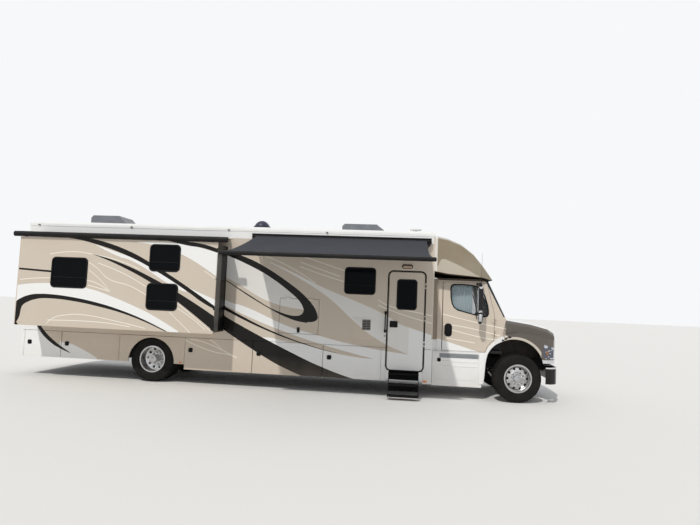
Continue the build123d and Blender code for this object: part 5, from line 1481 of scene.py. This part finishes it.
def wipers(shape):
    for y in wiper["pivots"]:
        z = wiper["pivotZ"]
        addRod(shape, onScreen(y, z, -0.004), onScreen(y, z, 0.034), 0.016, edge=0.004)
        addRod(shape, onScreen(y, z, 0.020), onScreen(y - 0.30, 1.900, 0.018), 0.007, 12, 0.005)
        blade = [onScreen(y - 0.04 - wiper["bladeStep"] * index, wiper["bladeZ"] + 0.004 * index, 0.011)
                 for index in range(wiper["blades"] + 1)]
        for first, second in zip(blade, blade[1:]):
            addRod(shape, first, second, 0.0065, sides=10)


def windscreenSeal(shape):
    low, high = seal["levels"]
    for level in seal["levels"]:
        places = [onScreen(seal["half"] * (2 * index / seal["steps"] - 1), level, 0.001)
                  for index in range(seal["steps"] + 1)]
        for first, second in zip(places, places[1:]):
            addRod(shape, first, second, seal["radius"], sides=10)
    for y in seal["sides"]:
        addRod(shape, onScreen(y, low + 0.002), onScreen(y, high), seal["radius"], sides=10)


def fenderSlots(shape, rows):
    for x, z, length, height, slope in rows:
        part = uprightFace(around(x, length / 2), around(z, height / 2), height * 0.45)
        raiseFaces(part, slots["y"], 0.0045, 0.0015)
        turn = Matrix.Rotation(math.radians(-slope), 3, "Y")
        bmesh.ops.rotate(part, cent=(x, 0, z), matrix=turn, verts=part.verts[:])
        addInto(shape, part)


makePiece("wipers", "trimBlack", "chassis", wipers)
makePiece("windscreen-seal", "trimBlack", "chassis", windscreenSeal)
makePair("fender-slot-rear", "trimBlack", "chassis", fenderSlots, slots["rear"])
makePair("fender-slots", "trimBlack", "hood", fenderSlots, slots["front"])
print("cab sides and front are dressed")


# cab: two padded seats, dashboard, steering wheel and curtains

seat = {
    "y": 0.520,
    "cushion": ((0.510, 0.490, 0.120), (4.095, 1.358)),  # size, then x and z of its middle
    "back": ((0.690, 0.470, 0.105), (3.842, 1.775)),
    "lean": math.atan2(0.10, 0.70),
    "cells": 14,
    "channels": (-0.085, 0.085),
    "channelDepth": 0.012,
    "crown": 0.16,  # shares of the thickness and of the sides
    "pull": 0.035,
    "cornerPull": 0.05,
    "border": 0.74,
}


def seatPad(shape, size, place):  # crowned pad with pulled-in sides, sewn channels and a border seam
    bmesh.ops.create_cube(shape, size=1)
    bmesh.ops.subdivide_edges(shape, edges=shape.edges[:], cuts=seat["cells"] - 1, use_grid_fill=True)
    for corner in shape.verts:
        u, v, w = (2 * part for part in corner.co)
        pull = seat["pull"] * (1 - w * w) * max(abs(u), abs(v)) ** 3 + seat["cornerPull"] * abs(u * v) ** 4
        corner.co.x *= (1 - pull) * size[0]
        corner.co.y *= (1 - pull) * size[1]
        groove = sum(math.exp(-((corner.co.y - middle) / 0.013) ** 2) for middle in seat["channels"])
        groove += math.exp(-((abs(u) - seat["border"]) / 0.035) ** 2) * 0.8
        rise = 0.5 + (seat["crown"] * (1 - u * u) * (1 - v * v) if w > 0 else 0)
        corner.co.z = w * rise * size[2] - (seat["channelDepth"] * min(1.0, groove) if w > 0.99 else 0)
    bmesh.ops.transform(shape, matrix=Matrix.Translation(middlePlane) @ place, verts=shape.verts[:])


upright = Matrix.Rotation(math.radians(90) - seat["lean"], 4, "Y")
for side, sign in sides:
    for part, turn in (("cushion", Matrix()), ("back", upright)):
        size, (x, z) = seat[part]
        place = Matrix.Translation((x, sign * seat["y"], z)) @ turn
        pad = makePiece(f"seat-{part}-{side}", "seatCloth", "chassis", seatPad, size, place, sharp=180)
        smooth = pad.modifiers.new("smooth", "SUBSURF")
        smooth.levels = smooth.render_levels = 1

dash = {
    "outline": [
        (4.585, 1.480), (4.615, 1.660), (4.795, 1.730), (4.860, 1.730), (4.860, 1.400), (4.735, 1.380)],
    "half": 0.925,
    "blocks": [  # x, y, z, edge and segments: instrument hood, middle console, foot wall
        ((4.560, 4.720), (0.240, 0.660), (1.610, 1.745), 0.035, 4),
        ((4.570, 4.700), (-0.150, 0.170), (1.420, 1.640), 0.022, 3),
        ((4.797, 4.853), (-0.600, 0.600), (1.065, 1.395), 0.012)],
    "vents": (-0.78, -0.30, 0.80),
    "seatBox": ((3.895, 4.295), 0.215, (1.062, 1.292)),  # x, half width, z
}


def dashboard(shape):
    addOutline(shape, dash["outline"], dash["half"], 2 * dash["half"], 0.018)
    for row in dash["blocks"]:
        addBlock(shape, *row)
    for y in dash["vents"]:
        addBlock(shape, (4.590, 4.625), around(y, 0.085), (1.575, 1.635), 0.010)
    x, half, z = dash["seatBox"]
    for side, sign in sides:
        addBlock(shape, x, around(sign * seat["y"], half), z, 0.020)


wheel = {
    "place": Vector((4.455, 0.450, 1.690)),
    "column": Vector((0.310, 0.0, -0.220)).normalized(),
    "radius": 0.211,
    "rim": 0.0135,
    "spokes": 3,
    "boss": [(-0.030, 0.0), (-0.028, 0.040), (-0.018, 0.060), (0.010, 0.064), (0.026, 0.046), (0.026, 0.0)],
}


def steeringWheel(shape):
    place, column = wheel["place"], wheel["column"]
    addRing(shape, place, column, wheel["radius"], wheel["rim"], steps=56, sides=14)
    addSpun(shape, wheel["boss"], place, column, 32)
    spoke = column.orthogonal().normalized()
    for index in range(wheel["spokes"]):
        way = Matrix.Rotation(2 * math.pi * index / wheel["spokes"], 3, column) @ spoke
        addRod(shape, place + way * 0.045, place + way * 0.205, 0.016, sides=14, endRadius=0.011)


def steeringColumn(shape):
    place, column = wheel["place"], wheel["column"]
    addRod(shape, place + column * 0.030, place + column * 0.350, 0.032, sides=24, edge=0.004)


makePiece("dashboard", "cabTrim", "chassis", dashboard, replaces=("cab_interior",))
makePiece("steering-wheel-rim", "trimBlack", "steering_wheel", steeringWheel, replaces=("steering_wheel",))
makePiece("steering-column", "cabTrim", "chassis", steeringColumn)

curtain = {
    "x": (3.800, 4.270),
    "z": (1.700, 2.485),
    "y": -0.872,
    "pleat": 0.013,
    "pleats": 11,
    "cells": (132, 10),
    "thickness": 0.0012,
    "rail": ((3.770, 4.600), 2.496, 0.007),  # x, z, radius
}


def hangCurtain(shape):
    (low, high), (bottom, top) = curtain["x"], curtain["z"]
    place = Matrix.Translation(((low + high) / 2, 0, 0)) @ Matrix.Diagonal((high - low, top - bottom, 1, 1))
    bmesh.ops.create_grid(shape, x_segments=curtain["cells"][0], y_segments=curtain["cells"][1], size=0.5,
                          matrix=place)
    for corner in shape.verts:
        share = (corner.co.x - low) / (high - low)
        level = corner.co.y + (bottom + top) / 2
        depth = curtain["pleat"] * (0.75 + 0.25 * math.sin(level * 3 + share * 9))
        turn = 2 * math.pi * curtain["pleats"] * share + 0.5 * math.sin(level * 4)
        corner.co.y = curtain["y"] + centreLine + depth * math.sin(turn)
        corner.co.z = level


railX, railZ, railRadius = curtain["rail"]
for side, sign in sides:
    piece = makePiece(f"curtain-{side}", "curtain", "chassis", hangCurtain, recalc=False, mirrored=sign > 0)
    thicken(piece, curtain["thickness"])
makePair("curtain-rail", "steel", "chassis", addCrossRod, railX, curtain["y"], railZ, railRadius, 14, 0.001)
print("cab is furnished")
